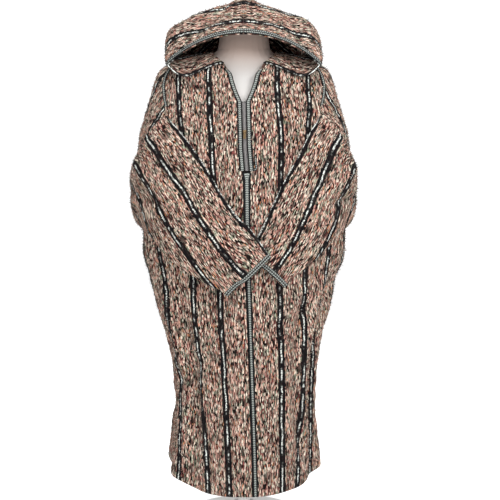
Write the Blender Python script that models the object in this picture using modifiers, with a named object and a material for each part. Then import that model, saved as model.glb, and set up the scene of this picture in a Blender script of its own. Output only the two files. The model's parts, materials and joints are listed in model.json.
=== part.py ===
"""A hooded djellaba robe of thick striped wool on a limbless dress form.

The robe hangs from the form's shoulders with its hood up and its empty sleeves crossed in front.
Metres, +Z up, the front faces -Y and +X is the wearer's left. The origin is the centre of the
underside of the form's base.
"""

import math

import bmesh
import bpy
import numpy as np

def monotone_tangents(xs, ys):
    """Slopes at a table's rows that keep the curve from overshooting."""
    steps = np.diff(xs)
    slopes = np.diff(ys) / steps
    tangents = np.zeros(len(xs))
    tangents[0] = slopes[0]
    tangents[-1] = slopes[-1]
    for k in range(1, len(xs) - 1):
        if slopes[k - 1] * slopes[k] > 0:
            near = 2 * steps[k] + steps[k - 1]
            far = steps[k] + 2 * steps[k - 1]
            tangents[k] = (near + far) / (near / slopes[k - 1] + far / slopes[k])
    return tangents


class Table:
    """Rows of named columns; the first column says where each row stands."""

    def __init__(self, columns, rows):
        self.columns = columns.split()
        self.rows = rows
        self.places = np.array([row[0] for row in rows])
        self.curves = {}
        for name, values in zip(self.columns, np.array(rows).T):
            self.curves[name] = (values, monotone_tangents(self.places, values))

    def line(self, name, at):
        """The column's value on straight lines between the rows."""
        return np.interp(at, self.places, self.curves[name][0])

    def smooth(self, name, at):
        """The column's value on a curve that never overshoots the rows."""
        xs = self.places
        ys, tangents = self.curves[name]
        at = np.clip(at, xs[0], xs[-1])
        k = np.clip(np.searchsorted(xs, at, side="right") - 1, 0, len(xs) - 2)
        step = xs[k + 1] - xs[k]
        share = (at - xs[k]) / step
        ease = share * share * (3 - 2 * share)
        start = share * (1 - share) ** 2 * step * tangents[k]
        end = share * share * (share - 1) * step * tangents[k + 1]
        return ys[k] * (1 - ease) + ys[k + 1] * ease + start + end


# Cloth and seams
CLOTH = 0.0025
SEAM = 0.0004
REST = 0.0005
BRAID = 0.0013
SQUARENESS = 2.5

# Panels of the robe: columns across each panel
FRONT_COLUMNS = 11
BACK_COLUMNS = 20

# The front slit and its zip
ZIP_FOOT = 1.025
ZIP_HEAD = 1.262
ZIP_HALF = 0.0055
SLIT_BRAID_WIDTH = 0.0125
CENTRE_BRAID_HALF = 0.0095

# Slider and pull tab
SLIDER_HEIGHT = 1.140
SLIDER_WIDTH = 0.0092
SLIDER_LENGTH = 0.0110
SLIDER_THICK = 0.0028
SLIDER_REST = 0.0004
TAPE_DEPTH = 0.0006
PIN_FORWARD = 0.0036
PIN_RADIUS = 0.0008
EYE_HOLE = 0.00125
EYE_RADIUS = 0.0024
EYE_WIDTH = 0.0052
EYE_PLAY = 0.0004
EAR_THICK = 0.0012
EAR_LENGTH = 0.0040
EAR_PAST_PIN = 0.0020
EAR_ROOT = 0.0004
TAB_LENGTH = 0.0190
TAB_WIDTH = 0.0050
GRIP_WIDTH = 0.0076
GRIP_LENGTH = 0.0120
TAB_THICK = 0.0014

# Other trims
CUFF_BRAID_WIDTH = 0.0150
RIM_BRAID_WIDTH = 0.0195
RIM_REST = 0.0010
SHOULDER_BRAID_WIDTH = 0.0110

# The form and its stand
BASE_RADIUS = 0.190
BASE_EDGE = 0.010
HUB_RADIUS = 0.032
HUB_HEIGHT = 0.050
POLE_RADIUS = 0.0175
TORSO_FOOT = 0.800

# Rings of the body: heights at the side, front and back, half width, front depth, back depth
RING_COLUMNS = "side_z front_z back_z half_width front back"
BODY_ROWS = (
    (0.176, 0.128, 0.132, 0.218, 0.196, 0.205),
    (0.225, 0.208, 0.210, 0.214, 0.192, 0.207),
    (0.270, 0.266, 0.266, 0.209, 0.190, 0.206),
    (0.350, 0.350, 0.350, 0.202, 0.188, 0.204),
    (0.430, 0.430, 0.430, 0.206, 0.186, 0.201),
    (0.500, 0.500, 0.500, 0.215, 0.184, 0.198),
    (0.560, 0.560, 0.560, 0.226, 0.182, 0.195),
    (0.620, 0.620, 0.620, 0.246, 0.179, 0.191),
    (0.680, 0.680, 0.680, 0.263, 0.176, 0.187),
    (0.740, 0.740, 0.740, 0.281, 0.173, 0.183),
    (0.800, 0.800, 0.800, 0.298, 0.169, 0.179),
    (0.860, 0.860, 0.860, 0.301, 0.164, 0.175),
    (0.930, 0.930, 0.930, 0.306, 0.157, 0.170),
    (1.000, 1.000, 1.000, 0.312, 0.149, 0.165),
    (1.080, 1.080, 1.080, 0.317, 0.141, 0.160),
    (1.140, 1.136, 1.140, 0.311, 0.136, 0.156),
    (1.200, 1.180, 1.196, 0.296, 0.131, 0.152),
    (1.250, 1.216, 1.240, 0.281, 0.126, 0.147),
    (1.300, 1.250, 1.282, 0.267, 0.121, 0.139),
    (1.335, 1.274, 1.312, 0.253, 0.117, 0.129),
    (1.357, 1.291, 1.333, 0.222, 0.114, 0.119),
    (1.370, 1.303, 1.346, 0.176, 0.112, 0.110),
    (1.380, 1.313, 1.356, 0.131, 0.110, 0.101),
    (1.388, 1.322, 1.364, 0.096, 0.108, 0.092),
)
BODY = Table(RING_COLUMNS, BODY_ROWS)
NECK = BODY.places[-1]
HEM = BODY.places[0]

# Where the grid of every panel has its rows
UNDERARM = 0.900
APEX = 1.200
SKIRT_ROWS = (0.176, 0.220, 0.270, 0.330, 0.395, 0.465, 0.535, 0.605, 0.675, 0.740, 0.800, 0.855)
ARMHOLE_ROWS = (
    (0.900, 0.907, 0.925, 0.950, 0.975, 1.000, 1.025)
    + (1.050, 1.075, 1.100, 1.125, 1.150, 1.175, 1.200)
)
SHOULDER_ROWS = (1.225, 1.262, 1.300, 1.322, 1.340, 1.352, 1.363, 1.372, 1.380, 1.388)
ROWS = SKIRT_ROWS + ARMHOLE_ROWS + SHOULDER_ROWS

# The centre front drifts to the wearer's left as it falls
CENTRE_ROWS = (
    (0.176, 0.0330),
    (0.690, 0.0152),
    (0.870, 0.0105),
    (1.030, 0.0090),
    (1.090, 0.0040),
    (1.262, 0.0005),
    (1.388, 0.0005),
)
CENTRE = Table("side_z x", CENTRE_ROWS)

# Half width of the front slit above the zip
SLIT_ROWS = ((1.262, 0.0058), (1.300, 0.0165), (1.340, 0.0260), (1.372, 0.0340), (1.388, 0.0550))
SLIT = Table("side_z half_width", SLIT_ROWS)

# Edges of the armhole in degrees round the body from the centre front
ARMHOLE_EDGES = (
    (0.900, 92.0, 92.0),
    (0.907, 84.0, 97.0),
    (0.925, 75.0, 101.0),
    (0.950, 67.0, 103.0),
    (0.975, 62.0, 104.0),
    (1.000, 58.0, 103.0),
    (1.025, 55.0, 100.0),
    (1.050, 52.0, 95.0),
    (1.075, 49.5, 88.0),
    (1.100, 47.5, 77.0),
    (1.125, 46.0, 67.0),
    (1.150, 44.5, 59.0),
    (1.175, 43.5, 51.0),
    (1.200, 43.0, 43.0),
)
ARMHOLE = Table("side_z front_edge back_edge", ARMHOLE_EDGES)

# The shoulder seam comes forward over the shoulder, in degrees from the centre front
SHOULDER_EDGES = (
    (1.200, 43.0),
    (1.225, 47.5),
    (1.262, 54.0),
    (1.300, 59.5),
    (1.340, 61.0),
    (1.363, 68.0),
    (1.388, 84.0),
)
SHOULDER = Table("side_z turn", SHOULDER_EDGES)

# Folds: turn at the top and at the hem, half width, height, and where each starts and ends
FOLD_COLUMNS = "top_turn hem_turn half_degrees height foot_z head_z"
FOLD_ROWS = (
    (-66.0, -58.0, 9.0, 0.013, 0.05, 0.80),
    (-84.0, -78.0, 8.0, -0.012, 0.10, 0.84),
    (-104.0, -98.0, 9.0, 0.014, 0.05, 0.95),
    (-126.0, -122.0, 10.0, -0.013, 0.05, 1.00),
    (-146.0, -148.0, 9.0, 0.013, 0.05, 1.10),
    (-168.0, -170.0, 10.0, -0.010, 0.05, 1.05),
    (168.0, 172.0, 9.0, 0.012, 0.05, 1.10),
    (146.0, 148.0, 10.0, -0.013, 0.05, 1.00),
    (124.0, 122.0, 9.0, 0.014, 0.05, 0.98),
    (102.0, 100.0, 9.0, -0.012, 0.05, 0.92),
    (82.0, 78.0, 8.0, 0.010, 0.10, 0.84),
    (66.0, 60.0, 8.0, -0.010, 0.05, 0.80),
    (-38.0, -34.0, 9.0, -0.006, 0.05, 0.62),
    (42.0, 40.0, 9.0, 0.006, 0.05, 0.60),
)
FOLDS = [dict(zip(FOLD_COLUMNS.split(), row)) for row in FOLD_ROWS]

# Sleeves: share of the length, the top and bottom folds, the gap to what is under, and fullness
SLEEVE_COLUMNS = "along top_turn top_z low_turn low_z lift full"
SLEEVE_OVER_ROWS = (
    (0.00, 43.0, 1.200, 92.0, 0.900, 0.0012, 0.0060),
    (0.15, 30.0, 1.142, 85.0, 0.888, 0.0055, 0.0220),
    (0.30, 19.8, 1.078, 70.0, 0.868, 0.0060, 0.0300),
    (0.45, 13.2, 1.020, 54.0, 0.838, 0.0080, 0.0300),
    (0.60, 7.4, 0.956, 41.0, 0.790, 0.0160, 0.0250),
    (0.75, 1.0, 0.888, 28.0, 0.748, 0.0240, 0.0200),
    (0.90, -5.6, 0.820, 13.5, 0.702, 0.0260, 0.0160),
    (1.00, -10.0, 0.780, 5.0, 0.678, 0.0260, 0.0140),
)
SLEEVE_OVER = Table(SLEEVE_COLUMNS, SLEEVE_OVER_ROWS)
SLEEVE_UNDER_ROWS = (
    (0.00, 43.0, 1.200, 92.0, 0.900, 0.0012, 0.0060),
    (0.15, 32.0, 1.142, 86.0, 0.890, 0.0055, 0.0200),
    (0.30, 24.0, 1.070, 73.0, 0.872, 0.0050, 0.0300),
    (0.45, 16.5, 0.998, 59.0, 0.845, 0.0050, 0.0280),
    (0.60, 11.0, 0.930, 45.0, 0.802, 0.0040, 0.0220),
    (0.75, 6.8, 0.872, 35.5, 0.768, 0.0040, 0.0160),
    (0.90, 2.5, 0.818, 25.0, 0.728, 0.0040, 0.0140),
    (1.00, -0.8, 0.786, 18.8, 0.700, 0.0040, 0.0130),
)
SLEEVE_UNDER = Table(SLEEVE_COLUMNS, SLEEVE_UNDER_ROWS)
SLEEVE_STATIONS = 14
SLEEVE_EDGE = 0.0080
SLEEVE_REST = 0.0016
BRAID_MARGIN = 0.0006
RIM_MARGIN = 0.0004
RIM_BRAID_SHARES = (0.02, 0.4, 0.7, 1.0)
SHOULDER_BRAID_HEAD = 1.352
SIDE_SEAM_TURN = 92.0
ARMHOLE_TOP_TURN = 43.0
ARMHOLE_END = 0.0012
SLEEVE_INSET = 2.2
SLEEVE_RISE_SHARE = 0.12
SLEEVE_INNER_TURN = 0.2
BULGE_POWER = 0.6
HOOD_LIFT = 0.0008
SAG_POWER = 1.8
STAND_GAP = 0.0003
SETTLE_SHARE = 0.45

# Hood: share from the face edge to the tip, turn on the neck seam, fold, top seam, sag, arch
HOOD_COLUMNS = "back neck_turn fold_x fold_y fold_z top_y top_z sag wide tall"
HOOD_ROWS = (
    (0.00, 30.6, 0.218, -0.115, 1.330, -0.150, 1.409, -0.034, 2.4, 1.00),
    (0.14, 44.0, 0.226, -0.088, 1.345, -0.118, 1.462, -0.016, 1.7, 1.40),
    (0.36, 76.0, 0.232, -0.030, 1.371, -0.030, 1.554, 0.000, 1.0, 2.45),
    (0.58, 108.0, 0.222, 0.045, 1.371, 0.060, 1.522, 0.004, 1.1, 2.40),
    (0.80, 142.0, 0.165, 0.130, 1.334, 0.145, 1.450, 0.004, 1.4, 2.00),
    (0.92, 164.0, 0.090, 0.196, 1.300, 0.205, 1.376, 0.002, 1.6, 1.80),
    (1.00, 180.0, 0.0002, 0.246, 1.284, 0.256, 1.314, 0.000, 1.8, 1.60),
)
HOOD = Table(HOOD_COLUMNS, HOOD_ROWS)
HOOD_HOOPS = (
    (0.00, 0.035, 0.07, 0.11, 0.17, 0.24, 0.31, 0.38, 0.45)
    + (0.52, 0.59, 0.66, 0.73, 0.80, 0.86, 0.92, 0.96, 1.00)
)
HOOD_LOW = 6
HOOD_HIGH = 11

# The dress form, with the columns of the body's rings
FORM_ROWS = (
    (0.800, 0.800, 0.800, 0.140, 0.095, 0.100),
    (0.850, 0.850, 0.850, 0.162, 0.112, 0.118),
    (0.930, 0.930, 0.930, 0.152, 0.104, 0.112),
    (1.010, 1.010, 1.010, 0.134, 0.094, 0.098),
    (1.100, 1.100, 1.100, 0.150, 0.104, 0.106),
    (1.200, 1.190, 1.190, 0.172, 0.110, 0.116),
    (1.290, 1.245, 1.262, 0.192, 0.103, 0.114),
    (1.340, 1.272, 1.296, 0.203, 0.094, 0.102),
    (1.3545, 1.290, 1.315, 0.203, 0.087, 0.092),
    (1.3605, 1.306, 1.335, 0.193, 0.081, 0.084),
    (1.3660, 1.318, 1.344, 0.174, 0.078, 0.081),
    (1.3767, 1.338, 1.356, 0.129, 0.075, 0.078),
    (1.3849, 1.360, 1.368, 0.096, 0.072, 0.075),
    (1.4000, 1.386, 1.391, 0.080, 0.068, 0.070),
    (1.4300, 1.424, 1.424, 0.0745, 0.064, 0.066),
    (1.4700, 1.470, 1.470, 0.0730, 0.063, 0.065),
    (1.4900, 1.490, 1.490, 0.066, 0.057, 0.058),
    (1.5020, 1.502, 1.502, 0.046, 0.042, 0.042),
    (1.5085, 1.5085, 1.5085, 0.020, 0.020, 0.020),
    (1.5140, 1.514, 1.514, 0.011, 0.011, 0.011),
    (1.5220, 1.522, 1.522, 0.015, 0.015, 0.015),
    (1.5320, 1.532, 1.532, 0.013, 0.013, 0.013),
    (1.5390, 1.539, 1.539, 0.006, 0.006, 0.006),
)
FORM = Table(RING_COLUMNS, FORM_ROWS)
FORM_SIDES = 28
TINY_TURN = 0.4
TINY_HEIGHT = 0.0015
TURNED_SIDES = 48

COLOURS = {
    "wool": (0.42, 0.31, 0.26, 1.0),
    "braid": (0.30, 0.31, 0.30, 1.0),
    "brass": (0.62, 0.45, 0.20, 1.0),
    "form": (0.80, 0.76, 0.71, 1.0),
    "stand": (0.86, 0.85, 0.83, 1.0),
}
FINISH = {
    "wool": (0.95, 0.0),
    "braid": (0.75, 0.0),
    "brass": (0.35, 1.0),
    "form": (0.7, 0.0),
    "stand": (0.4, 0.0),
}


def clear_scene():
    for thing in list(bpy.data.objects):
        bpy.data.objects.remove(thing, do_unlink=True)


def signed_power(value, power):
    return np.sign(value) * np.abs(value) ** power


def ring_point(table, turn, height):
    """Points of body rings, at turns in degrees from the centre front and row heights."""
    half, front, back = (table.smooth(name, height) for name in ("half_width", "front", "back"))
    front_z, back_z = table.smooth("front_z", height), table.smooth("back_z", height)
    side, ahead = np.sin(np.radians(turn)), np.cos(np.radians(turn))
    x = half * signed_power(side, 2 / SQUARENESS)
    y = -np.where(ahead > 0, front, back) * signed_power(ahead, 2 / SQUARENESS)
    z = height + (np.where(ahead > 0, front_z, back_z) - height) * ahead * ahead
    return np.stack(np.broadcast_arrays(x, y, z), axis=-1)


def wrap(turn):
    return (turn + 180.0) % 360.0 - 180.0


def fold_height(turn, height):
    """How far the folds push the cloth out at places."""
    total = 0.0
    for fold in FOLDS:
        fall = np.maximum(0.0, (fold["head_z"] - height) / (fold["head_z"] - fold["foot_z"]))
        middle = fold["top_turn"] + (fold["hem_turn"] - fold["top_turn"]) * fall
        away = wrap(turn - middle) / fold["half_degrees"]
        total = total + fold["height"] * np.minimum(1.0, 1.6 * fall) * np.exp(-away * away)
    return total


def unit(vectors):
    return vectors / np.maximum(np.linalg.norm(vectors, axis=-1, keepdims=True), 1e-12)


def slope_normal(place, turn, height, table):
    """The outward normal of a surface given as a function of turn and height."""
    high = np.minimum(height + TINY_HEIGHT, table.places[-1])
    low = np.maximum(height - TINY_HEIGHT, table.places[0])
    across = place(turn + TINY_TURN, height) - place(turn - TINY_TURN, height)
    return unit(np.cross(across, place(turn, high) - place(turn, low)))


def body_point(turn, height, out=0.0):
    """Points of the robe's outer face, moved out by a distance."""

    def ring(some_turn, some_height):
        return ring_point(BODY, some_turn, some_height)

    normal = slope_normal(ring, turn, height, BODY)
    push = np.asarray(fold_height(turn, height) + out)
    return ring(turn, height) + normal * push[..., None]


def body_normal(turn, height):
    return slope_normal(body_point, turn, height, BODY)


def turn_at_x(x, height):
    """The turn on the front half at which a ring is x to the side."""
    share = min(1.0, abs(x) / float(BODY.smooth("half_width", height)))
    return math.copysign(math.degrees(math.asin(share ** (SQUARENESS / 2))), x)


def centre_half_gap(height):
    """Half of the gap between the two fronts at a row."""
    if height < ZIP_FOOT - 0.001:
        return SEAM / 2
    if height <= ZIP_HEAD + 0.001:
        return ZIP_HALF
    return SLIT.smooth("half_width", height)


def outer_edge(side, height):
    """The front's outer edge: side seam, armhole and then shoulder seam."""
    if height <= UNDERARM:
        turn = SIDE_SEAM_TURN
    elif height <= APEX:
        turn = ARMHOLE.line("front_edge", height)
    else:
        turn = SHOULDER.line("turn", height)
    return side * turn


def back_edge(side, height):
    """The back's edge, which meets the front's except at the armhole."""
    if UNDERARM < height < APEX:
        return side * ARMHOLE.line("back_edge", height)
    return outer_edge(side, height)


def seam_inset(edge, side, height):
    """Degrees that hold an edge half a seam gap back, however the edge slants."""
    low, high = max(height - 0.012, HEM), min(height + 0.012, NECK)
    ends = [ring_point(BODY, edge(side, level), level) for level in (low, high)]
    run = ends[1] - ends[0]
    here = edge(side, height)
    step = ring_point(BODY, here + 0.5, height) - ring_point(BODY, here - 0.5, height)
    along = np.dot(run, step) / np.dot(step, step)
    square = run - along * step
    slant = np.linalg.norm(run) / max(np.linalg.norm(square), 1e-9)
    return 0.5 * SEAM * min(slant, 4.0) / np.linalg.norm(step)


def even_turns(first, last, height, count):
    """Turns from one edge of a row to the other, equally far apart along the cloth."""
    fine = np.linspace(first, last, 8 * count + 1)
    points = body_point(fine, height)
    length = np.concatenate(([0.0], np.cumsum(np.linalg.norm(np.diff(points, axis=0), axis=1))))
    return np.interp(np.linspace(0.0, length[-1], count + 1), length, fine)


def front_rows(side):
    """Turns of one front's grid, a row for each height: from the centre edge to the outer edge."""
    rows = []
    for height in ROWS:
        centre = CENTRE.line("x", height)
        first = turn_at_x(centre + side * centre_half_gap(height), height)
        last = outer_edge(side, height) - side * seam_inset(outer_edge, side, height)
        rows.append(even_turns(first, last, height, FRONT_COLUMNS))
    return np.array(rows)


def back_rows():
    """Turns of the back's grid, from the wearer's left round the back to the right."""
    rows = []
    for height in ROWS:
        left = back_edge(1, height) + seam_inset(back_edge, 1, height)
        right = 360.0 + back_edge(-1, height) - seam_inset(back_edge, -1, height)
        rows.append(even_turns(left, right, height, BACK_COLUMNS))
    return np.array(rows)


def body_grid(turns):
    heights = np.array(ROWS)[:, None]
    return body_point(turns, heights), body_normal(turns, heights)


def grid_normals(points, ring):
    """Normals of a grid from its neighbours; a ring's columns close on themselves."""
    if ring:
        across = np.roll(points, -1, axis=1) - np.roll(points, 1, axis=1)
    else:
        across = np.gradient(points, axis=1)
    normals = np.cross(across, np.gradient(points, axis=0))
    return unit(normals)


def material(slot):
    found = bpy.data.materials.get(slot)
    if found:
        return found
    made = bpy.data.materials.new(slot)
    made.use_nodes = True
    shader = made.node_tree.nodes["Principled BSDF"]
    shader.inputs["Base Color"].default_value = COLOURS[slot]
    shader.inputs["Roughness"].default_value = FINISH[slot][0]
    shader.inputs["Metallic"].default_value = FINISH[slot][1]
    return made


def add_object(name, mesh, slot, collection, smooth=True):
    mesh.materials.append(material(slot))
    made = bpy.data.objects.new(name, mesh)
    collection.objects.link(made)
    if smooth:
        mesh.shade_smooth()
        mesh.set_sharp_from_angle(angle=math.radians(40))
    return made


def wall(name, outer, inner, slot, collection, ring=False):
    """A closed wall lofted through the sections of an outer and an inner face."""
    rows, columns = outer.shape[:2]
    cells = columns if ring else columns - 1
    offset = rows * columns

    def corner(i, j, face):
        return face * offset + i * columns + j % columns

    faces = []
    for i in range(rows - 1):
        for j in range(cells):
            for half in (((i, j), (i, j + 1), (i + 1, j + 1)), ((i, j), (i + 1, j + 1), (i + 1, j))):
                faces.append([corner(a, b, 0) for a, b in half])
                faces.append([corner(a, b, 1) for a, b in reversed(half)])
    for i, order in ((0, 1), (rows - 1, -1)):
        for j in range(cells):
            rim = [corner(i, j, 0), corner(i, j, 1), corner(i, j + 1, 1), corner(i, j + 1, 0)]
            faces.append(rim[::order])
    if not ring:
        for j, order in ((0, -1), (columns - 1, 1)):
            for i in range(rows - 1):
                rim = [corner(i, j, 0), corner(i, j, 1), corner(i + 1, j, 1), corner(i + 1, j, 0)]
                faces.append(rim[::order])
    mesh = bpy.data.meshes.new(name)
    mesh.from_pydata(np.concatenate((outer.reshape(-1, 3), inner.reshape(-1, 3))).tolist(), [], faces)
    shape = bmesh.new()
    shape.from_mesh(mesh)
    bmesh.ops.recalc_face_normals(shape, faces=shape.faces)
    shape.to_mesh(mesh)
    shape.free()
    return add_object(name, mesh, slot, collection)


def cloth_wall(name, points, normals, collection, ring=False):
    return wall(name, points, points - normals * CLOTH, "wool", collection, ring)


def step_along(line, distance):
    """The share of each of a line's points that stands for a place some way along it."""
    lengths = np.concatenate(([0.0], np.cumsum(np.linalg.norm(np.diff(line, axis=0), axis=1))))
    k = int(np.clip(np.searchsorted(lengths, distance) - 1, 0, len(line) - 2))
    share = (distance - lengths[k]) / (lengths[k + 1] - lengths[k])
    return k, share


def braid_band(name, points, normals, places, collection, lift=REST, ring=False):
    """A braid on a panel: each row of the panel's points is read at the places and moved out."""
    low, high = [], []
    for line, normal in zip(points, normals):
        for_row = [step_along(line, place) for place in places]
        spots = np.array([line[k] * (1 - s) + line[k + 1] * s for k, s in for_row])
        ways = np.array([normal[k] * (1 - s) + normal[k + 1] * s for k, s in for_row])
        low.append(spots + ways * lift)
        high.append(spots + ways * (lift + BRAID))
    outer, inner = np.array(high), np.array(low)
    if ring:
        outer, inner = outer.transpose(1, 0, 2), inner.transpose(1, 0, 2)
    return wall(name, outer, inner, "braid", collection, ring)


def row_index(height):
    return min(range(len(ROWS)), key=lambda k: abs(ROWS[k] - height))


def build_body(collection):
    """Two fronts and a back, with the braids that lie on the fronts."""
    fronts = {}
    for side, name in ((1, "left"), (-1, "right")):
        points, normals = body_grid(front_rows(side))
        fronts[side] = (points, normals)
        cloth_wall("front_" + name, points, normals, collection)
    points, normals = body_grid(back_rows())
    cloth_wall("back_panel", points, normals, collection)

    foot, head, apex = row_index(ZIP_FOOT), row_index(NECK) - 1, row_index(APEX)
    shoulder_top = row_index(SHOULDER_BRAID_HEAD)
    for side, name in ((1, "left"), (-1, "right")):
        points, normals = fronts[side]
        places = (BRAID_MARGIN, SLIT_BRAID_WIDTH)
        rows = slice(foot, head + 1)
        braid_band("slit_braid_" + name, points[rows], normals[rows], places, collection)
        points, normals = points[:, ::-1], normals[:, ::-1]
        places = (BRAID_MARGIN, SHOULDER_BRAID_WIDTH)
        rows = slice(apex + 1, shoulder_top + 1)
        braid_band("shoulder_braid_" + name, points[rows], normals[rows], places, collection)
    build_centre_braid(fronts, foot, collection)
    build_zip(fronts, foot, collection)


def build_centre_braid(fronts, foot, collection):
    """The braid over the closed seam, from the foot of the zip to the hem."""
    low, high = [], []
    for row in range(foot):
        line, ways = [], []
        for side in (-1, 1):
            points, normals = (grid[row] for grid in fronts[side])
            k, share = step_along(points, CENTRE_BRAID_HALF)
            edge = (points[0], normals[0])
            far = (points[k] * (1 - share) + points[k + 1] * share, normals[k])
            for spot, way in ((far, edge) if side < 0 else (edge, far)):
                line.append(spot)
                ways.append(way)
        line, ways = np.array(line), np.array(ways)
        low.append(line + ways * REST)
        high.append(line + ways * (REST + BRAID))
    wall("centre_braid", np.array(high), np.array(low), "braid", collection)


def build_zip(fronts, foot, collection):
    """Two tapes with their teeth between the fronts, and the stop at the foot."""
    head = row_index(ZIP_HEAD)
    for side, name in ((1, "left"), (-1, "right")):
        outer, inner = [], []
        for row in range(foot, head + 1):
            edge, normal = (grid[row][0] for grid in fronts[side])
            toward = fronts[-side][0][row][0] - edge
            wide = np.linalg.norm(toward)
            toward = toward / wide
            line = np.array([edge + toward * SEAM, edge + toward * (wide / 2 - SEAM / 2)])
            outer.append(line - normal * TAPE_DEPTH)
            inner.append(line - normal * CLOTH)
        wall("zip_" + name, np.array(outer), np.array(inner), "braid", collection)


def sleeve_grid(table, side):
    """Rings of a sleeve from the armhole to the cuff. A ring runs from its top fold down the
    outer layer to the bottom fold and up the inner layer, which lies on the robe."""
    heights = ARMHOLE_ROWS[::-1]
    count = len(heights) - 1
    top = np.array((ARMHOLE_TOP_TURN, APEX - ARMHOLE_END))
    low = np.array((SIDE_SEAM_TURN, UNDERARM + ARMHOLE_END))
    outer_edge_line, inner_edge_line = [top], [top]
    for height in heights[1:-1]:
        inset = SLEEVE_INSET * abs(seam_inset(back_edge, side, height))
        outer_edge_line.append(np.array((ARMHOLE.line("back_edge", height) - inset, height)))
        inner_edge_line.append(np.array((ARMHOLE.line("front_edge", height) + SLEEVE_INNER_TURN, height)))
    outer_edge_line.append(low)
    inner_edge_line.append(low)

    rings = []
    for along in np.linspace(0.0, 1.0, SLEEVE_STATIONS + 1):
        read = [table.smooth(name, along) for name in table.columns[1:]]
        upper, lower = np.array(read[0:2]), np.array(read[2:4])
        if along == 0.0:
            upper, lower = top, low
        lift, full = read[4], read[5]
        settled = min(1.0, along / SETTLE_SHARE)
        settled = settled * settled * (3 - 2 * settled)
        rise = min(1.0, along / SLEEVE_RISE_SHARE)
        edge = SLEEVE_EDGE * rise
        ring = []
        for k in range(count + 1):
            share = k / count
            straight_start = top + (low - top) * share
            drift = (outer_edge_line[k] - straight_start) * (1 - settled)
            place = upper + (lower - upper) * share + drift
            bulge = math.sin(math.pi * share) ** BULGE_POWER if 0 < share < 1 else 0.0
            out = lift + edge / 2 + (full - edge / 2) * bulge * rise
            if along == 0.0:
                out = SLEEVE_REST * (1 - bulge)
            ring.append((place, out))
        for k in range(count - 1, 0, -1):
            share = k / count
            straight_start = top + (low - top) * share
            drift = (inner_edge_line[k] - straight_start) * (1 - settled)
            place = upper + (lower - upper) * share + drift
            bulge = math.sin(math.pi * share) ** BULGE_POWER
            ring.append((place, lift + edge / 2 * (1 - bulge)))
        rings.append(ring)
    places = np.array([[place for place, out in ring] for ring in rings])
    outs = np.array([[out for place, out in ring] for ring in rings])
    points = body_point(side * places[:, :, 0], places[:, :, 1], outs)
    normals = grid_normals(points, ring=True) * -side
    body = body_normal(side * places[0, :, 0], places[0, :, 1])
    normals[0] = body
    normals[0, count + 1 :] = -body[count + 1 :]
    long_way = unit(points[0, 0] - points[0, count])
    normals[0, 0], normals[0, count] = long_way, -long_way
    return points, normals


def build_sleeves(collection):
    for side, name, table in ((-1, "right", SLEEVE_OVER), (1, "left", SLEEVE_UNDER)):
        points, normals = sleeve_grid(table, side)
        cloth_wall("sleeve_" + name, points, normals, collection, ring=True)
        lines = points[::-1].transpose(1, 0, 2)
        ways = normals[::-1].transpose(1, 0, 2)
        places = (RIM_MARGIN, CUFF_BRAID_WIDTH)
        braid_band("cuff_braid_" + name, lines, ways, places, collection, RIM_REST, ring=True)


def hood_grid(side):
    """Hoops of one hood half from the face edge to the tip; each runs from the neck seam out to
    the fold on the shoulder and up to the centre seam."""
    hoops = []
    for back in HOOD_HOOPS:
        read = [HOOD.smooth(name, back) for name in HOOD.columns[1:]]
        neck_turn, fold_x, fold_y, fold_z, top_y, top_z, sag, wide, tall = read
        neck = ring_point(BODY, neck_turn, NECK) + np.array((0.0, 0.0, HOOD_LIFT))
        fold = np.array((fold_x, fold_y, fold_z))
        hoop = []
        for share in np.linspace(0.0, 1.0, HOOD_LOW + 1)[:-1]:
            place = neck + (fold - neck) * share
            place[2] += sag * math.sin(math.pi * share**SAG_POWER)
            hoop.append(place)
        for share in np.linspace(0.0, 1.0, HOOD_HIGH + 1):
            angle = 0.5 * math.pi * share
            across = max(math.cos(angle), 0.0) ** (2 / wide)
            rise = math.sin(angle) ** (2 / tall)
            y = fold_y + (top_y - fold_y) * (1 - across)
            hoop.append(np.array((fold_x * across, y, fold_z + (top_z - fold_z) * rise)))
        hoops.append(hoop)
    points = np.array(hoops)
    points[:, :, 0] = np.maximum(points[:, :, 0], SEAM / 2)
    normals = -grid_normals(points, ring=False)
    for edge in (normals[:, -1], normals[-1, :]):
        edge[:, 0] = 0.0
        edge[:] = unit(edge)
    points[:, :, 0] *= side
    normals[:, :, 0] *= side
    return points, normals


def build_hood(collection):
    places = [share * RIM_BRAID_WIDTH for share in RIM_BRAID_SHARES]
    for side, name in ((1, "left"), (-1, "right")):
        points, normals = hood_grid(side)
        cloth_wall("hood_" + name, points, normals, collection)
        lines, ways = points.transpose(1, 0, 2)[2:], normals.transpose(1, 0, 2)[2:]
        braid_band("hood_braid_" + name, lines, ways, places, collection, lift=RIM_REST)


def add_box(name, size, centre, collection, tilt=0.0):
    """A box whose back leans with the cloth."""
    bpy.ops.mesh.primitive_cube_add(size=1.0, location=centre, rotation=(-tilt, 0.0, 0.0))
    made = bpy.context.object
    made.name = name
    made.scale = size
    bpy.ops.object.transform_apply(location=False, rotation=True, scale=True)
    move_to(made, collection)
    return made


def add_rod(name, radius, length, centre, collection, sides=20):
    """A round rod along X."""
    turned = (0.0, math.pi / 2, 0.0)
    bpy.ops.mesh.primitive_cylinder_add(
        vertices=sides, radius=radius, depth=length, location=centre, rotation=turned
    )
    made = bpy.context.object
    made.name = name
    move_to(made, collection)
    return made


def move_to(thing, collection):
    for home in list(thing.users_collection):
        home.objects.unlink(thing)
    collection.objects.link(thing)


def combine(target, tool, operation):
    step = target.modifiers.new(operation.lower() + "_" + tool.name, "BOOLEAN")
    step.operation = operation
    step.object = tool
    step.solver = "EXACT"
    tool.hide_render = True
    tool.display_type = "WIRE"


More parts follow.
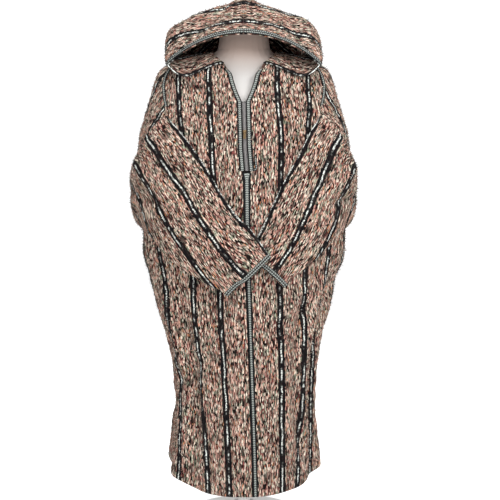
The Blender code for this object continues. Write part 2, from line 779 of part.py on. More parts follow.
def build_slider(collection, cutters):
    """The slider with its two ears and pin, and the pull tab that swings on the pin."""
    ends = []
    for height in (SLIDER_HEIGHT - SLIDER_LENGTH / 2, SLIDER_HEIGHT + SLIDER_LENGTH / 2):
        turn = turn_at_x(CENTRE.line("x", height), height)
        ends.append(body_point(turn, height, -TAPE_DEPTH))
    middle = (ends[0] + ends[1]) / 2
    tilt = math.atan2(ends[1][1] - ends[0][1], ends[1][2] - ends[0][2])
    outward = np.array((0.0, -math.cos(tilt), math.sin(tilt)))
    front = SLIDER_REST + SLIDER_THICK

    size = (SLIDER_WIDTH, SLIDER_THICK, SLIDER_LENGTH)
    centre = middle + outward * (SLIDER_REST + SLIDER_THICK / 2)
    slider = add_box("zip_slider", size, centre, collection, tilt)
    slider.data.materials.append(material("brass"))
    pin = middle + outward * (front + PIN_FORWARD)
    ear_depth = PIN_FORWARD + EAR_PAST_PIN
    for side in (-1, 1):
        across = np.array((side * (EYE_WIDTH / 2 + EYE_PLAY + EAR_THICK / 2), 0.0, 0.0))
        centre = middle + across + outward * (front + ear_depth / 2 - EAR_ROOT)
        ear = add_box("ear_" + str(side), (EAR_THICK, ear_depth, EAR_LENGTH), centre, cutters, tilt)
        combine(slider, ear, "UNION")
    rod = add_rod("pin", PIN_RADIUS, EYE_WIDTH + 2 * EYE_PLAY + EAR_THICK, pin, cutters)
    combine(slider, rod, "UNION")

    tab = add_rod("pull_tab", EYE_RADIUS, EYE_WIDTH, pin, collection, sides=24)
    tab.data.materials.append(material("brass"))
    below = np.array((0.0, 0.0, EYE_RADIUS / 2 + TAB_LENGTH / 2))
    plate = add_box("tab_plate", (TAB_WIDTH, TAB_THICK, TAB_LENGTH), pin - below, cutters)
    combine(tab, plate, "UNION")
    below = np.array((0.0, 0.0, EYE_RADIUS / 2 + TAB_LENGTH - GRIP_LENGTH / 2))
    grip = add_box("tab_grip", (GRIP_WIDTH, TAB_THICK * 1.2, GRIP_LENGTH), pin - below, cutters)
    combine(tab, grip, "UNION")
    hole = add_rod("tab_hole", EYE_HOLE, EYE_WIDTH * 2, pin, cutters)
    combine(tab, hole, "DIFFERENCE")


def build_form(collection):
    """The smooth torso and neck, then the pole and the turned base."""
    turns = np.linspace(0.0, 360.0, FORM_SIDES, endpoint=False)
    rings = [ring_point(FORM, turns, height) for height in FORM.places]
    shape = bmesh.new()
    grid = [[shape.verts.new(point.tolist()) for point in ring] for ring in rings]
    for low, high in zip(grid, grid[1:]):
        for k in range(FORM_SIDES):
            after = (k + 1) % FORM_SIDES
            shape.faces.new((low[k], low[after], high[after], high[k]))
    shape.faces.new(grid[0][::-1])
    shape.faces.new(grid[-1])
    bmesh.ops.recalc_face_normals(shape, faces=shape.faces)
    mesh = bpy.data.meshes.new("form_torso")
    shape.to_mesh(mesh)
    shape.free()
    add_object("form_torso", mesh, "form", collection)

    pole_foot = HUB_HEIGHT + STAND_GAP
    pole_head = TORSO_FOOT - STAND_GAP
    length = pole_head - pole_foot
    middle = (0.0, 0.0, (pole_head + pole_foot) / 2)
    bpy.ops.mesh.primitive_cylinder_add(vertices=24, radius=POLE_RADIUS, depth=length, location=middle)
    pole = bpy.context.object
    pole.name = "form_pole"
    pole.data.materials.append(material("stand"))
    move_to(pole, collection)

    profile = [
        (0.0, HUB_HEIGHT),
        (HUB_RADIUS, HUB_HEIGHT),
        (HUB_RADIUS, HUB_HEIGHT * 0.6),
        (HUB_RADIUS * 1.8, BASE_EDGE * 1.9),
        (BASE_RADIUS - 0.012, BASE_EDGE),
        (BASE_RADIUS, BASE_EDGE * 0.5),
        (BASE_RADIUS, 0.0),
        (0.0, 0.0),
    ]
    mesh = bpy.data.meshes.new("form_base")
    edges = [(k, k + 1) for k in range(len(profile) - 1)]
    mesh.from_pydata([(x, 0.0, z) for x, z in profile], edges, [])
    base = add_object("form_base", mesh, "stand", collection, smooth=False)
    screw = base.modifiers.new("turned", "SCREW")
    screw.axis = "Z"
    screw.steps = TURNED_SIDES
    screw.render_steps = TURNED_SIDES
    screw.use_merge_vertices = True
    screw.merge_threshold = 0.0001


def main():
    clear_scene()
    robe = bpy.data.collections.new("djellaba_on_form")
    cutters = bpy.data.collections.new("cutters")
    bpy.context.scene.collection.children.link(robe)
    bpy.context.scene.collection.children.link(cutters)
    build_form(robe)
    build_body(robe)
    build_sleeves(robe)
    build_hood(robe)
    build_slider(robe, cutters)


main()
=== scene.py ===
# %% [markdown]
# # A striped wool robe on a dress form
#
# A djellaba is a long, loose robe with set sleeves and a pointed hood, cut from thick hand-woven
# wool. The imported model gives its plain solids. Here every panel is made again as a thin,
# finer shell on the form of its solid, with the folds, the lumpy nap and the stripes of the real
# cloth, so that the look and the mechanics stay in one frame.

import json
import math

import bmesh
import bpy
import numpy as np
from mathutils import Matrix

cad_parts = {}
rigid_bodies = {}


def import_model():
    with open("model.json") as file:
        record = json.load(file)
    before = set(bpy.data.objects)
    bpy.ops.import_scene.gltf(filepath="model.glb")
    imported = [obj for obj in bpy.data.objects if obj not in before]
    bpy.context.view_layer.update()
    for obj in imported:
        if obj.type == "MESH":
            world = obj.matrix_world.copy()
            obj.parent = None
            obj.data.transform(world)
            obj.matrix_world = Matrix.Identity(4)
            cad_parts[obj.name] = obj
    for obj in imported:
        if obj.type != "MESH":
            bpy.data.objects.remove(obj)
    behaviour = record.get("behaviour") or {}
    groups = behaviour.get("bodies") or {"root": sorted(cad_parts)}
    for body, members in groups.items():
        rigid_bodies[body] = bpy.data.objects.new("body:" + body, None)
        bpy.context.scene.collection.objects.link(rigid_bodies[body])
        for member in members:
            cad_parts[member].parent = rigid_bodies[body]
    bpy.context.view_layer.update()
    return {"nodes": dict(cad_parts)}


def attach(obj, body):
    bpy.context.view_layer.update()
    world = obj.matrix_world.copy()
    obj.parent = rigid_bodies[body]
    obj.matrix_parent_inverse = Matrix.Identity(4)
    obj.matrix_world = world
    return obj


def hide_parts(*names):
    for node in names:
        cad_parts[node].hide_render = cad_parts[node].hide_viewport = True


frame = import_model()

# %% [markdown]
# ## Tables that are read by name
#
# A tailor's block is a short table of measurements. The rings of this robe are kept the same way:
# a row for each height, with named columns. A curve that never overshoots its rows keeps the
# cloth from bulging between two measurements, which a plain spline would do.

# %% A table of named columns
def row_slopes(xs, ys):
    """Slopes at a table's rows that keep the curve from overshooting."""
    widths = np.diff(xs)
    slopes = np.diff(ys) / widths
    found = np.zeros(len(xs))
    found[0], found[-1] = slopes[0], slopes[-1]
    for k in range(1, len(xs) - 1):
        if slopes[k - 1] * slopes[k] > 0:
            near, far = 2 * widths[k] + widths[k - 1], widths[k] + 2 * widths[k - 1]
            found[k] = (near + far) / (near / slopes[k - 1] + far / slopes[k])
    return found


class Table:
    """Rows of named columns; the first column says where each row stands."""

    def __init__(self, columns, rows):
        self.columns = columns.split()
        self.places = np.array([row[0] for row in rows])
        self.values = dict(zip(self.columns, np.array(rows).T))
        self.slopes = {name: row_slopes(self.places, self.values[name]) for name in self.columns}

    def line(self, name, at):
        """The column's value on straight lines between the rows."""
        return np.interp(at, self.places, self.values[name])

    def smooth(self, name, at):
        """The column's value on a curve that never overshoots the rows."""
        xs, ys, slopes = self.places, self.values[name], self.slopes[name]
        at = np.clip(at, xs[0], xs[-1])
        k = np.clip(np.searchsorted(xs, at, side="right") - 1, 0, len(xs) - 2)
        step = xs[k + 1] - xs[k]
        share = (at - xs[k]) / step
        ease = share * share * (3 - 2 * share)
        start = share * (1 - share) ** 2 * step * slopes[k]
        end = share * share * (share - 1) * step * slopes[k + 1]
        return ys[k] * (1 - ease) + ys[k + 1] * ease + start + end

    def row(self, at):
        """All columns but the first, read on their curves."""
        return [float(self.smooth(name, at)) for name in self.columns[1:]]


print("a straight table read halfway:", Table("x y", ((0.0, 0.0), (1.0, 1.0))).row(0.5))

# %% [markdown]
# ## The robe's measurements
#
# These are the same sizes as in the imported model. Each ring is an oval with squared-off
# sides, because the cloth hangs wide from the shoulders and not round like a pipe. A place on
# the robe is a turn round the body, in degrees from the centre front, and a height at the side.

# %% Rings of the body
# Sizes are in metres and turns in degrees
SIDES = ((1, "left"), (-1, "right"))
CLOTH = 0.0025
SEAM = 0.0004
SQUARENESS = 2.5
ZIP_FOOT = 1.025
ZIP_HEAD = 1.262
ZIP_HALF = 0.0055
UNDERARM = 0.900
APEX = 1.200
SIDE_SEAM_TURN = 92.0
ARMHOLE_TOP_TURN = 43.0

# Rings of the body: heights at the side, front and back, half width, front depth, back depth
BODY_ROWS = (
    (0.176, 0.128, 0.132, 0.218, 0.196, 0.205),
    (0.225, 0.208, 0.210, 0.214, 0.192, 0.207),
    (0.270, 0.266, 0.266, 0.209, 0.190, 0.206),
    (0.350, 0.350, 0.350, 0.202, 0.188, 0.204),
    (0.430, 0.430, 0.430, 0.206, 0.186, 0.201),
    (0.500, 0.500, 0.500, 0.215, 0.184, 0.198),
    (0.560, 0.560, 0.560, 0.226, 0.182, 0.195),
    (0.620, 0.620, 0.620, 0.246, 0.179, 0.191),
    (0.680, 0.680, 0.680, 0.263, 0.176, 0.187),
    (0.740, 0.740, 0.740, 0.281, 0.173, 0.183),
    (0.800, 0.800, 0.800, 0.298, 0.169, 0.179),
    (0.860, 0.860, 0.860, 0.301, 0.164, 0.175),
    (0.930, 0.930, 0.930, 0.306, 0.157, 0.170),
    (1.000, 1.000, 1.000, 0.312, 0.149, 0.165),
    (1.080, 1.080, 1.080, 0.317, 0.141, 0.160),
    (1.140, 1.136, 1.140, 0.311, 0.136, 0.156),
    (1.200, 1.180, 1.196, 0.296, 0.131, 0.152),
    (1.250, 1.216, 1.240, 0.281, 0.126, 0.147),
    (1.300, 1.250, 1.282, 0.267, 0.121, 0.139),
    (1.335, 1.274, 1.312, 0.253, 0.117, 0.129),
    (1.357, 1.291, 1.333, 0.222, 0.114, 0.119),
    (1.370, 1.303, 1.346, 0.176, 0.112, 0.110),
    (1.380, 1.313, 1.356, 0.131, 0.110, 0.101),
    (1.388, 1.322, 1.364, 0.096, 0.108, 0.092),
)
BODY = Table("side_z front_z back_z half_width front back", BODY_ROWS)
HEM, NECK = BODY.places[0], BODY.places[-1]
print("rings of the body:", len(BODY_ROWS), "from", HEM, "to", NECK)

# %% [markdown]
# A pattern cutter draws each edge of a panel as a curve. Here an edge is a small table that is read
# by height: the centre front, the slit above the zip, the armhole and the shoulder seam.

# %% Edges of the panels
# The centre front drifts to the wearer's left as it falls
CENTRE_ROWS = (
    (0.176, 0.0330),
    (0.690, 0.0152),
    (0.870, 0.0105),
    (1.030, 0.0090),
    (1.090, 0.0040),
    (1.262, 0.0005),
    (1.388, 0.0005),
)
CENTRE = Table("side_z x", CENTRE_ROWS)
# Half width of the front slit above the zip
SLIT_ROWS = ((1.262, 0.0058), (1.300, 0.0165), (1.340, 0.0260), (1.372, 0.0340), (1.388, 0.0550))
SLIT = Table("side_z half_width", SLIT_ROWS)
# Edges of the armhole in degrees round the body from the centre front
ARMHOLE_ROWS = (
    (UNDERARM, SIDE_SEAM_TURN, SIDE_SEAM_TURN),
    (0.907, 84.0, 97.0),
    (0.925, 75.0, 101.0),
    (0.950, 67.0, 103.0),
    (0.975, 62.0, 104.0),
    (1.000, 58.0, 103.0),
    (1.025, 55.0, 100.0),
    (1.050, 52.0, 95.0),
    (1.075, 49.5, 88.0),
    (1.100, 47.5, 77.0),
    (1.125, 46.0, 67.0),
    (1.150, 44.5, 59.0),
    (1.175, 43.5, 51.0),
    (APEX, ARMHOLE_TOP_TURN, ARMHOLE_TOP_TURN),
)
ARMHOLE = Table("side_z front_edge back_edge", ARMHOLE_ROWS)
# The shoulder seam comes forward over the shoulder, in degrees from the centre front
SHOULDER_ROWS = (
    (APEX, ARMHOLE_TOP_TURN),
    (1.225, 47.5),
    (1.262, 54.0),
    (1.300, 59.5),
    (1.340, 61.0),
    (1.363, 68.0),
    (1.388, 84.0),
)
SHOULDER = Table("side_z turn", SHOULDER_ROWS)
print("half of the slit at the neck:", SLIT.row(NECK))

# %% [markdown]
# The skirt hangs in large soft folds. Each is a bell-shaped ridge or trough that leans as it falls
# and dies out towards the chest, so one line of numbers says all about it.

# %% Large folds
# Folds: turn at the top and at the hem, half width in degrees, rise, and where each ends and starts
FOLDS = (
    (-66.0, -58.0, 9.0, 0.013, 0.05, 0.80),
    (-84.0, -78.0, 8.0, -0.012, 0.10, 0.84),
    (-104.0, -98.0, 9.0, 0.014, 0.05, 0.95),
    (-126.0, -122.0, 10.0, -0.013, 0.05, 1.00),
    (-146.0, -148.0, 9.0, 0.013, 0.05, 1.10),
    (-168.0, -170.0, 10.0, -0.010, 0.05, 1.05),
    (168.0, 172.0, 9.0, 0.012, 0.05, 1.10),
    (146.0, 148.0, 10.0, -0.013, 0.05, 1.00),
    (124.0, 122.0, 9.0, 0.014, 0.05, 0.98),
    (102.0, 100.0, 9.0, -0.012, 0.05, 0.92),
    (82.0, 78.0, 8.0, 0.010, 0.10, 0.84),
    (66.0, 60.0, 8.0, -0.010, 0.05, 0.80),
    (-38.0, -34.0, 9.0, -0.006, 0.05, 0.62),
    (42.0, 40.0, 9.0, 0.006, 0.05, 0.60),
)
print("large folds:", len(FOLDS))

# %% [markdown]
# ## From a turn and a height to a point
#
# Every panel, braid and tooth is placed through one function, `body_point`. What lies on a panel
# is made from the panel's own points moved out along the cloth's normal, so it follows each fold
# instead of cutting through it.

# %% Points and normals of the cloth
TINY_TURN = 0.4
TINY_HEIGHT = 0.0015
FOLD_ONSET = 1.6


def signed_power(value, power):
    return np.sign(value) * np.abs(value) ** power


def ring_point(turn, height):
    """Points of the body's rings, at turns in degrees from the centre front and row heights."""
    front_z, back_z, half, front, back = (BODY.smooth(name, height) for name in BODY.columns[1:])
    side, ahead = np.sin(np.radians(turn)), np.cos(np.radians(turn))
    x = half * signed_power(side, 2 / SQUARENESS)
    y = -np.where(ahead > 0, front, back) * signed_power(ahead, 2 / SQUARENESS)
    z = height + (np.where(ahead > 0, front_z, back_z) - height) * ahead * ahead
    return np.stack(np.broadcast_arrays(x, y, z), axis=-1)


def wrap(turn):
    return (turn + 180.0) % 360.0 - 180.0


def fold_height(turn, height):
    """How far the folds push the cloth out at places."""
    total = 0.0
    for top_turn, hem_turn, half, rise, foot_z, head_z in FOLDS:
        fall = np.maximum(0.0, (head_z - height) / (head_z - foot_z))
        away = wrap(turn - (top_turn + (hem_turn - top_turn) * fall)) / half
        total = total + rise * np.minimum(1.0, FOLD_ONSET * fall) * np.exp(-away * away)
    return total


def unit(vectors):
    return vectors / np.maximum(np.linalg.norm(vectors, axis=-1, keepdims=True), 1e-12)


def slope_normal(place, turn, height):
    """The outward normal of a surface given as a function of turn and height."""
    high, low = np.minimum(height + TINY_HEIGHT, NECK), np.maximum(height - TINY_HEIGHT, HEM)
    across = place(turn + TINY_TURN, height) - place(turn - TINY_TURN, height)
    return unit(np.cross(across, place(turn, high) - place(turn, low)))


def body_point(turn, height, out=0.0):
    """Points of the robe's outer face, moved out by a distance."""
    push = np.asarray(fold_height(turn, height) + out)
    return ring_point(turn, height) + slope_normal(ring_point, turn, height) * push[..., None]


def body_normal(turn, height):
    return slope_normal(body_point, turn, height)


print("centre of the hem:", body_point(0.0, HEM).round(3))

# %% [markdown]
# ## Softer creases, placed one by one
#
# Thick wool doesn't wrinkle sharply. It makes broad troughs and ridges that fade at both ends
# and wander a little. Each crease here is a line from one place to another, a half width and a
# rise, and its strength wavers along its length so that no two look alike.

# %% Creases of the body
# Turn and height at its start, turn and height at its end, half width, rise
CREASES = (
    (-24.0, 0.30, -30.0, 0.72, 0.022, 0.0090),
    (-34.0, 0.20, -40.0, 0.66, 0.020, -0.0105),
    (-49.0, 0.24, -55.0, 0.74, 0.022, 0.0105),
    (-62.0, 0.18, -70.0, 0.56, 0.022, -0.0120),
    (-76.0, 0.30, -80.0, 0.80, 0.024, 0.0090),
    (12.0, 0.22, 9.0, 0.62, 0.020, 0.0053),
    (31.0, 0.20, 25.0, 0.70, 0.022, 0.0090),
    (43.0, 0.24, 36.0, 0.74, 0.018, -0.0120),
    (55.0, 0.22, 47.0, 0.76, 0.024, 0.0105),
    (70.0, 0.30, 64.0, 0.82, 0.024, -0.0105),
    (-20.0, 1.10, -34.0, 1.26, 0.022, 0.0045),
    (22.0, 1.12, 36.0, 1.27, 0.022, 0.0045),
    (-50.0, 1.22, -58.0, 1.34, 0.018, -0.0060),
    (52.0, 1.23, 60.0, 1.34, 0.018, -0.0060),
    (118.0, 0.30, 112.0, 1.10, 0.030, 0.0090),
    (136.0, 0.20, 140.0, 0.98, 0.026, -0.0105),
    (158.0, 0.24, 156.0, 1.16, 0.028, 0.0090),
    (-176.0, 0.20, 178.0, 0.90, 0.026, -0.0090),
    (-158.0, 0.30, -162.0, 1.12, 0.028, 0.0090),
    (-138.0, 0.22, -134.0, 1.00, 0.026, -0.0105),
    (-116.0, 0.28, -120.0, 1.08, 0.030, 0.0090),
)
METRES_PER_DEGREE = 0.0046
WANDER_SHARE = 0.35
WANDER_WAVES = 5.0
SWELL_SHARE = 0.3
SWELL_WAVES = 9.0


def ridge(x, y, start, end, half, rise, wander):
    """The height of one crease at flat places, from a start to an end."""
    run = np.subtract(end, start)
    length = np.hypot(*run)
    along = ((x - start[0]) * run[0] + (y - start[1]) * run[1]) / length**2
    aside = ((x - start[0]) * run[1] - (y - start[1]) * run[0]) / length
    aside = aside + WANDER_SHARE * half * np.sin(WANDER_WAVES * along + wander)
    past = np.maximum(0.0, np.maximum(-along, along - 1.0)) * length
    fade = np.exp(-((past / half) ** 2)) * np.clip(np.minimum(along, 1 - along) * 4 + 0.35, 0.0, 1.0)
    swell = 1.0 + SWELL_SHARE * np.sin(SWELL_WAVES * along + 2.3 * wander)
    return rise * np.exp(-((aside / half) ** 2)) * fade * swell


def crease_height(turn, height):
    total = 0.0
    for k, (first_turn, first_z, last_turn, last_z, half, rise) in enumerate(CREASES):
        middle = (first_turn + last_turn) / 2
        start = ((first_turn - middle) * METRES_PER_DEGREE, first_z)
        end = ((last_turn - middle) * METRES_PER_DEGREE, last_z)
        x = wrap(turn - middle) * METRES_PER_DEGREE
        total = total + ridge(x, height, start, end, half, rise, 1.7 * k)
    return total


print("creases of the body:", len(CREASES))

# %% [markdown]
# ## A lumpy surface
#
# The yarn is boucle: it loops and swells, so even a flat stretch has bumps of a few millimetres.
# Seeded random numbers, blurred for the larger bumps, move each point in or out. The bumps
# fade towards a seam or a braid, so that pieces still meet edge to edge.

# %% Bumps of the yarn
FINE_LUMP = 0.0007
BROAD_LUMP = 0.0032
BLUR_ROUNDS = 8
BLUR_SELF = 0.4
BLUR_BESIDE = 0.15


def blurred(values, times):
    for _ in range(times):
        wide = np.pad(values, 1, mode="edge")
        beside = wide[:-2, 1:-1] + wide[2:, 1:-1] + wide[1:-1, :-2] + wide[1:-1, 2:]
        values = wide[1:-1, 1:-1] * BLUR_SELF + beside * BLUR_BESIDE
    return values


def lumps(shape, seed):
    random = np.random.default_rng(seed)
    small = random.normal(size=shape) * FINE_LUMP
    return small + blurred(random.normal(size=shape), BLUR_ROUNDS) * BROAD_LUMP


def edge_fade(count, start, end):
    """Goes from 0 at an edge to 1 a few points in, at either end of a row of points."""
    places = np.arange(count)
    return np.clip(places / start, 0, 1) * np.clip((count - 1 - places) / end, 0, 1)


print("largest lump of a small patch:", round(float(np.abs(lumps((20, 20), 1)).max()), 4))

# %% [markdown]
# ## Lofting a thin wall
#
# A sheet of cloth needs two faces and a rim, or its edge looks like paper. The wall is lofted
# between an outer and an inner grid. It also stores two UV maps: `cloth` holds where a point lay
# on the flat cloth, in metres across and along the warp, and `pitch` holds how wide one repeat
# of the stripes is there, because the panels taper.

# %% A wall with cloth coordinates
def cloth_mesh(name, points, faces, lay):
    """A mesh with both cloth maps, which are given for each corner of its faces."""
    mesh = bpy.data.meshes.new(name)
    mesh.from_pydata(points.reshape(-1, 3).tolist(), [], faces)
    for layer, values in (("cloth", lay[:, :2]), ("pitch", lay[:, 2:])):
        mesh.uv_layers.new(name=layer).data.foreach_set("uv", np.ascontiguousarray(values).ravel())
    return mesh


def quads(*corners):
    """Faces from four corners, each given as rows, columns and 0 for outer or 1 for inner."""
    return np.stack([np.stack(np.broadcast_arrays(*corner), -1) for corner in corners], 1)


def wall_mesh(name, outer, inner, lay, ring=False):
    rows, columns = outer.shape[:2]
    cells = columns if ring else columns - 1
    i, j = (grid.ravel() for grid in np.meshgrid(np.arange(rows - 1), np.arange(cells), indexing="ij"))
    found = [quads((i, j, 0), (i, j + 1, 0), (i + 1, j + 1, 0), (i + 1, j, 0))]
    found.append(quads((i, j, 1), (i + 1, j, 1), (i + 1, j + 1, 1), (i, j + 1, 1)))
    k = np.arange(cells)
    for row in (0, rows - 1):
        rim = quads((row, k, 0), (row, k, 1), (row, k + 1, 1), (row, k + 1, 0))
        found.append(rim[:, ::-1] if row else rim)
    k = np.arange(0 if ring else rows - 1)
    for column in (0, columns - 1):
        rim = quads((k, column, 0), (k + 1, column, 0), (k + 1, column, 1), (k, column, 1))
        found.append(rim[:, ::-1] if column else rim)
    row, column, face = np.moveaxis(np.concatenate(found), -1, 0)
    faces = face * rows * columns + row * columns + column % columns
    mesh = cloth_mesh(name, np.stack((outer, inner)), faces.tolist(), lay[row, column].reshape(-1, 4))
    shape = bmesh.new()
    shape.from_mesh(mesh)
    bmesh.ops.recalc_face_normals(shape, faces=shape.faces)
    shape.to_mesh(mesh)
    shape.free()
    mesh.shade_smooth()
    mesh.set_sharp_from_angle(angle=math.radians(60))
    return mesh


robe = bpy.data.collections.new("dressed robe")
bpy.context.scene.collection.children.link(robe)


def add_piece(name, mesh, material, nodes, body="robe_on_form"):
    piece = bpy.data.objects.new(name, mesh)
    robe.objects.link(piece)
    mesh.materials.append(material)
    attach(piece, body)
    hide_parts(*nodes)
    return piece


print("pieces are gathered in:", robe.name)

# %% [markdown]
# ## Measuring a grid
#
# The flat size of each panel is read off its own grid, along the rows and the columns, as a
# tape measure laid on the cloth would do. The same distances give the cloth coordinates.

# %% Distances and areas on a grid
def runs(points, axis):
    """The distance from each point of a grid to the next one."""
    return np.linalg.norm(np.diff(points, axis=axis), axis=-1)


def run_along(line):
    """How far along a line each of its points is."""
    return np.concatenate(([0.0], np.cumsum(runs(line[:, :3], 0))))


def read_along(line, places):
    """Points at distances along a line of points; a line may also carry normals."""
    return np.stack([np.interp(places, run_along(line), column) for column in line.T], -1)


def cell_areas(points):
    across = points[:-1, 1:] - points[:-1, :-1]
    up = points[1:, :-1] - points[:-1, :-1]
    return np.linalg.norm(np.cross(across, up), axis=-1)


def print_cut(name, points, ring=False):
    """Prints what the flat cut of a grid would measure, all round where it is a tube."""
    if ring:
        points = np.concatenate((points, points[:, :1]), axis=1)
    wide, long = runs(points, 1).sum(axis=1).max(), runs(points, 0).sum(axis=0).max()
    print(name, "cut:", round(wide, 3), "by", round(long, 3), "area", round(cell_areas(points).sum(), 3))


print("a metre of straight line:", run_along(np.array(((0.0, 0.0, 0.0), (0.6, 0.8, 0.0))))[-1])

# %% [markdown]
# ## Writing shader maths as formulas
#
# The weave is worked out from the cloth coordinates, which takes many small nodes. A class that
# wraps a socket lets a formula be written as Python: each operator adds its Math node. Colours
# and vectors have Mix and Vector Math nodes instead, because a Math node turns a colour grey.

# %% Sockets with operators
class Field:
    """A socket in a material's node tree."""

    def __init__(self, tree, socket):
        self.tree = tree
        self.socket = socket

    def node(self, kind, inputs=None, output=0, **settings):
        """Adds a node: its settings first, then the values or links of its sockets."""
        made = self.tree.nodes.new(kind)
        for name, value in settings.items():
            if name == "stops":
                elements = made.color_ramp.elements
                while len(elements) < len(value):
                    elements.new(0.5)
                for element, (place, colour) in zip(elements, value):
                    element.position = place
                    element.color = (*colour, 1.0)
            elif name == "interpolation":
                made.color_ramp.interpolation = value
            else:
                setattr(made, name, value)
        for name, value in (inputs or {}).items():
            if isinstance(value, Field):
                self.tree.links.new(value.socket, made.inputs[name])
            else:
                made.inputs[name].default_value = value
        return Field(self.tree, made.outputs[output])

    def maths(self, operation, *others):
        return self.node("ShaderNodeMath", dict(enumerate((self, *others))), operation=operation)

    def __add__(self, other):
        return self.maths("ADD", other)

    def __sub__(self, other):
        return self.maths("SUBTRACT", other)

    def __rsub__(self, other):
        return self.node("ShaderNodeMath", {0: other, 1: self}, operation="SUBTRACT")

    def __mul__(self, other):
        return self.maths("MULTIPLY", other)

    def __truediv__(self, other):
        return self.maths("DIVIDE", other)

    def __abs__(self):
        return self.maths("ABSOLUTE")

    __radd__ = __add__
    __rmul__ = __mul__

    def between(self, low, high):
        """Goes smoothly from 0 to 1 as the value goes from low to high."""
        inputs = {"Value": self, "From Min": low, "From Max": high}
        return self.node("ShaderNodeMapRange", inputs, interpolation_type="SMOOTHSTEP")

    def mixed(self, other, share, blend="MIX"):
        """This colour with another over it."""
        inputs = {0: share, 6: self, 7: other}
        return self.node("ShaderNodeMix", inputs, 2, data_type="RGBA", blend_type=blend)

    def noise(self, scale, detail):
        return self.node("ShaderNodeTexNoise", {"Vector": self, "Scale": scale, "Detail": detail})

    def ramp(self, stops, interpolation="LINEAR"):
        return self.node("ShaderNodeValToRGB", {0: self}, stops=stops, interpolation=interpolation)

    # Parts of a vector or a colour, and the way back
    def axis(self, k):
        return self.node("ShaderNodeSeparateXYZ", {0: self}, k)

    def channel(self, k):
        return self.node("ShaderNodeSeparateColor", {0: self}, k)

    def place(self, x, y):
        return self.node("ShaderNodeCombineXYZ", {0: x, 1: y})

    def grey(self):
        return self.node("ShaderNodeCombineColor", {0: self, 1: self, 2: self})


def new_material(name, roughness, metallic=0.0, sheen=0.0, gloss=0.5):
    material = bpy.data.materials.new(name)
    material.use_nodes = True
    sockets = material.node_tree.nodes["Principled BSDF"].inputs
    sockets["Roughness"].default_value = roughness
    sockets["Metallic"].default_value = metallic
    sockets["Sheen Weight"].default_value = sheen
    sockets["Sheen Roughness"].default_value = 0.6
    sockets["Specular IOR Level"].default_value = gloss
    return material, Field(material.node_tree, sockets["Base Color"])


def feed(start, colour, height, distance, strength=0.6, roughness=None):
    """Joins colour, roughness and bump height to the shader."""
    links, sockets = start.tree.links, start.tree.nodes["Principled BSDF"].inputs
    links.new(colour.socket, sockets["Base Color"])
    if roughness:
        links.new(roughness.socket, sockets["Roughness"])
    bump = start.node("ShaderNodeBump", {"Height": height, "Distance": distance, "Strength": strength})
    links.new(bump.socket, sockets["Normal"])


print("operators of a socket are ready")

# %% [markdown]
# ## The wool
#
# The cloth is woven from yarn that was dyed in short lengths, so it shows as dashes of salmon,
# cream, black, grey-green and maroon along the warp. A Voronoi texture stretched along the warp
# gives one random number for each dash, and a ramp with hard steps turns it into a colour. The
# stripes are two black bands with a broken line of pale loops between them.

# %% Colours of the yarn
STRIPE_REPEAT = 0.085
DASH_WIDE = 0.0021
DASH_LONG = 0.0086
STREAK_WIDE = 0.0032
STREAK_LONG = 0.034
PALE_HALF = 0.0019
BLACK_HALF = 0.0090
EDGE_SOFT = 0.0004
SALMON = (0.44, 0.250, 0.198)
CREAM = (0.63, 0.53, 0.435)
# A dark yarn colour, also used as painted shade in the gaps between the dashes
DARK_YARN_AND_SHADE = (0.010, 0.007, 0.006)
MOSS = (0.25, 0.26, 0.19)
MAROON = (0.17, 0.050, 0.046)
ORANGE = (0.42, 0.175, 0.085)
BLACK = (0.003, 0.003, 0.004, 1.0)
PALE = (0.66, 0.68, 0.64, 1.0)
YARN_STOPS = (
    (0.00, DARK_YARN_AND_SHADE),
    (0.17, SALMON),
    (0.36, CREAM),
    (0.55, MAROON),
    (0.62, MOSS),
    (0.74, DARK_YARN_AND_SHADE),
    (0.82, SALMON),
    (0.94, ORANGE),
    (0.965, CREAM),
)


def mixed_yarn(lay, across, along, waver):
    """Dashes of dyed yarn with painted shade in the gaps round them, and dark streaks along the warp."""
    x = across / DASH_WIDE + (waver - 0.5) * 1.2
    y = along / DASH_LONG + (waver - 0.5) * 0.9
    cells = {"Vector": lay.place(x, y), "Scale": 1.0}
    random = lay.node("ShaderNodeTexVoronoi", cells, 1, voronoi_dimensions="2D")
    middle = lay.node("ShaderNodeTexVoronoi", cells, 0, voronoi_dimensions="2D")
    dim = 0.60 + random.channel(1) * 0.66 + (lay.noise(14.0, 3.0) - 0.5) * 0.55
    streak = lay.place(across / STREAK_WIDE, along / STREAK_LONG).noise(1.0, 2.0).between(0.50, 0.58)
    # The gaps round each dash, where the bump is lowest, are darkened as painted shade; the streaks darken
    # long lines along the warp
    gap_shade_and_streaks = (middle.between(0.40, 0.70) * 0.75).maths("MAXIMUM", streak * 0.85)
    yarn = random.channel(0).ramp(YARN_STOPS, "CONSTANT").mixed((*DARK_YARN_AND_SHADE, 1.0), gap_shade_and_streaks)
    return yarn.mixed(dim.grey(), 1.0, "MULTIPLY"), middle


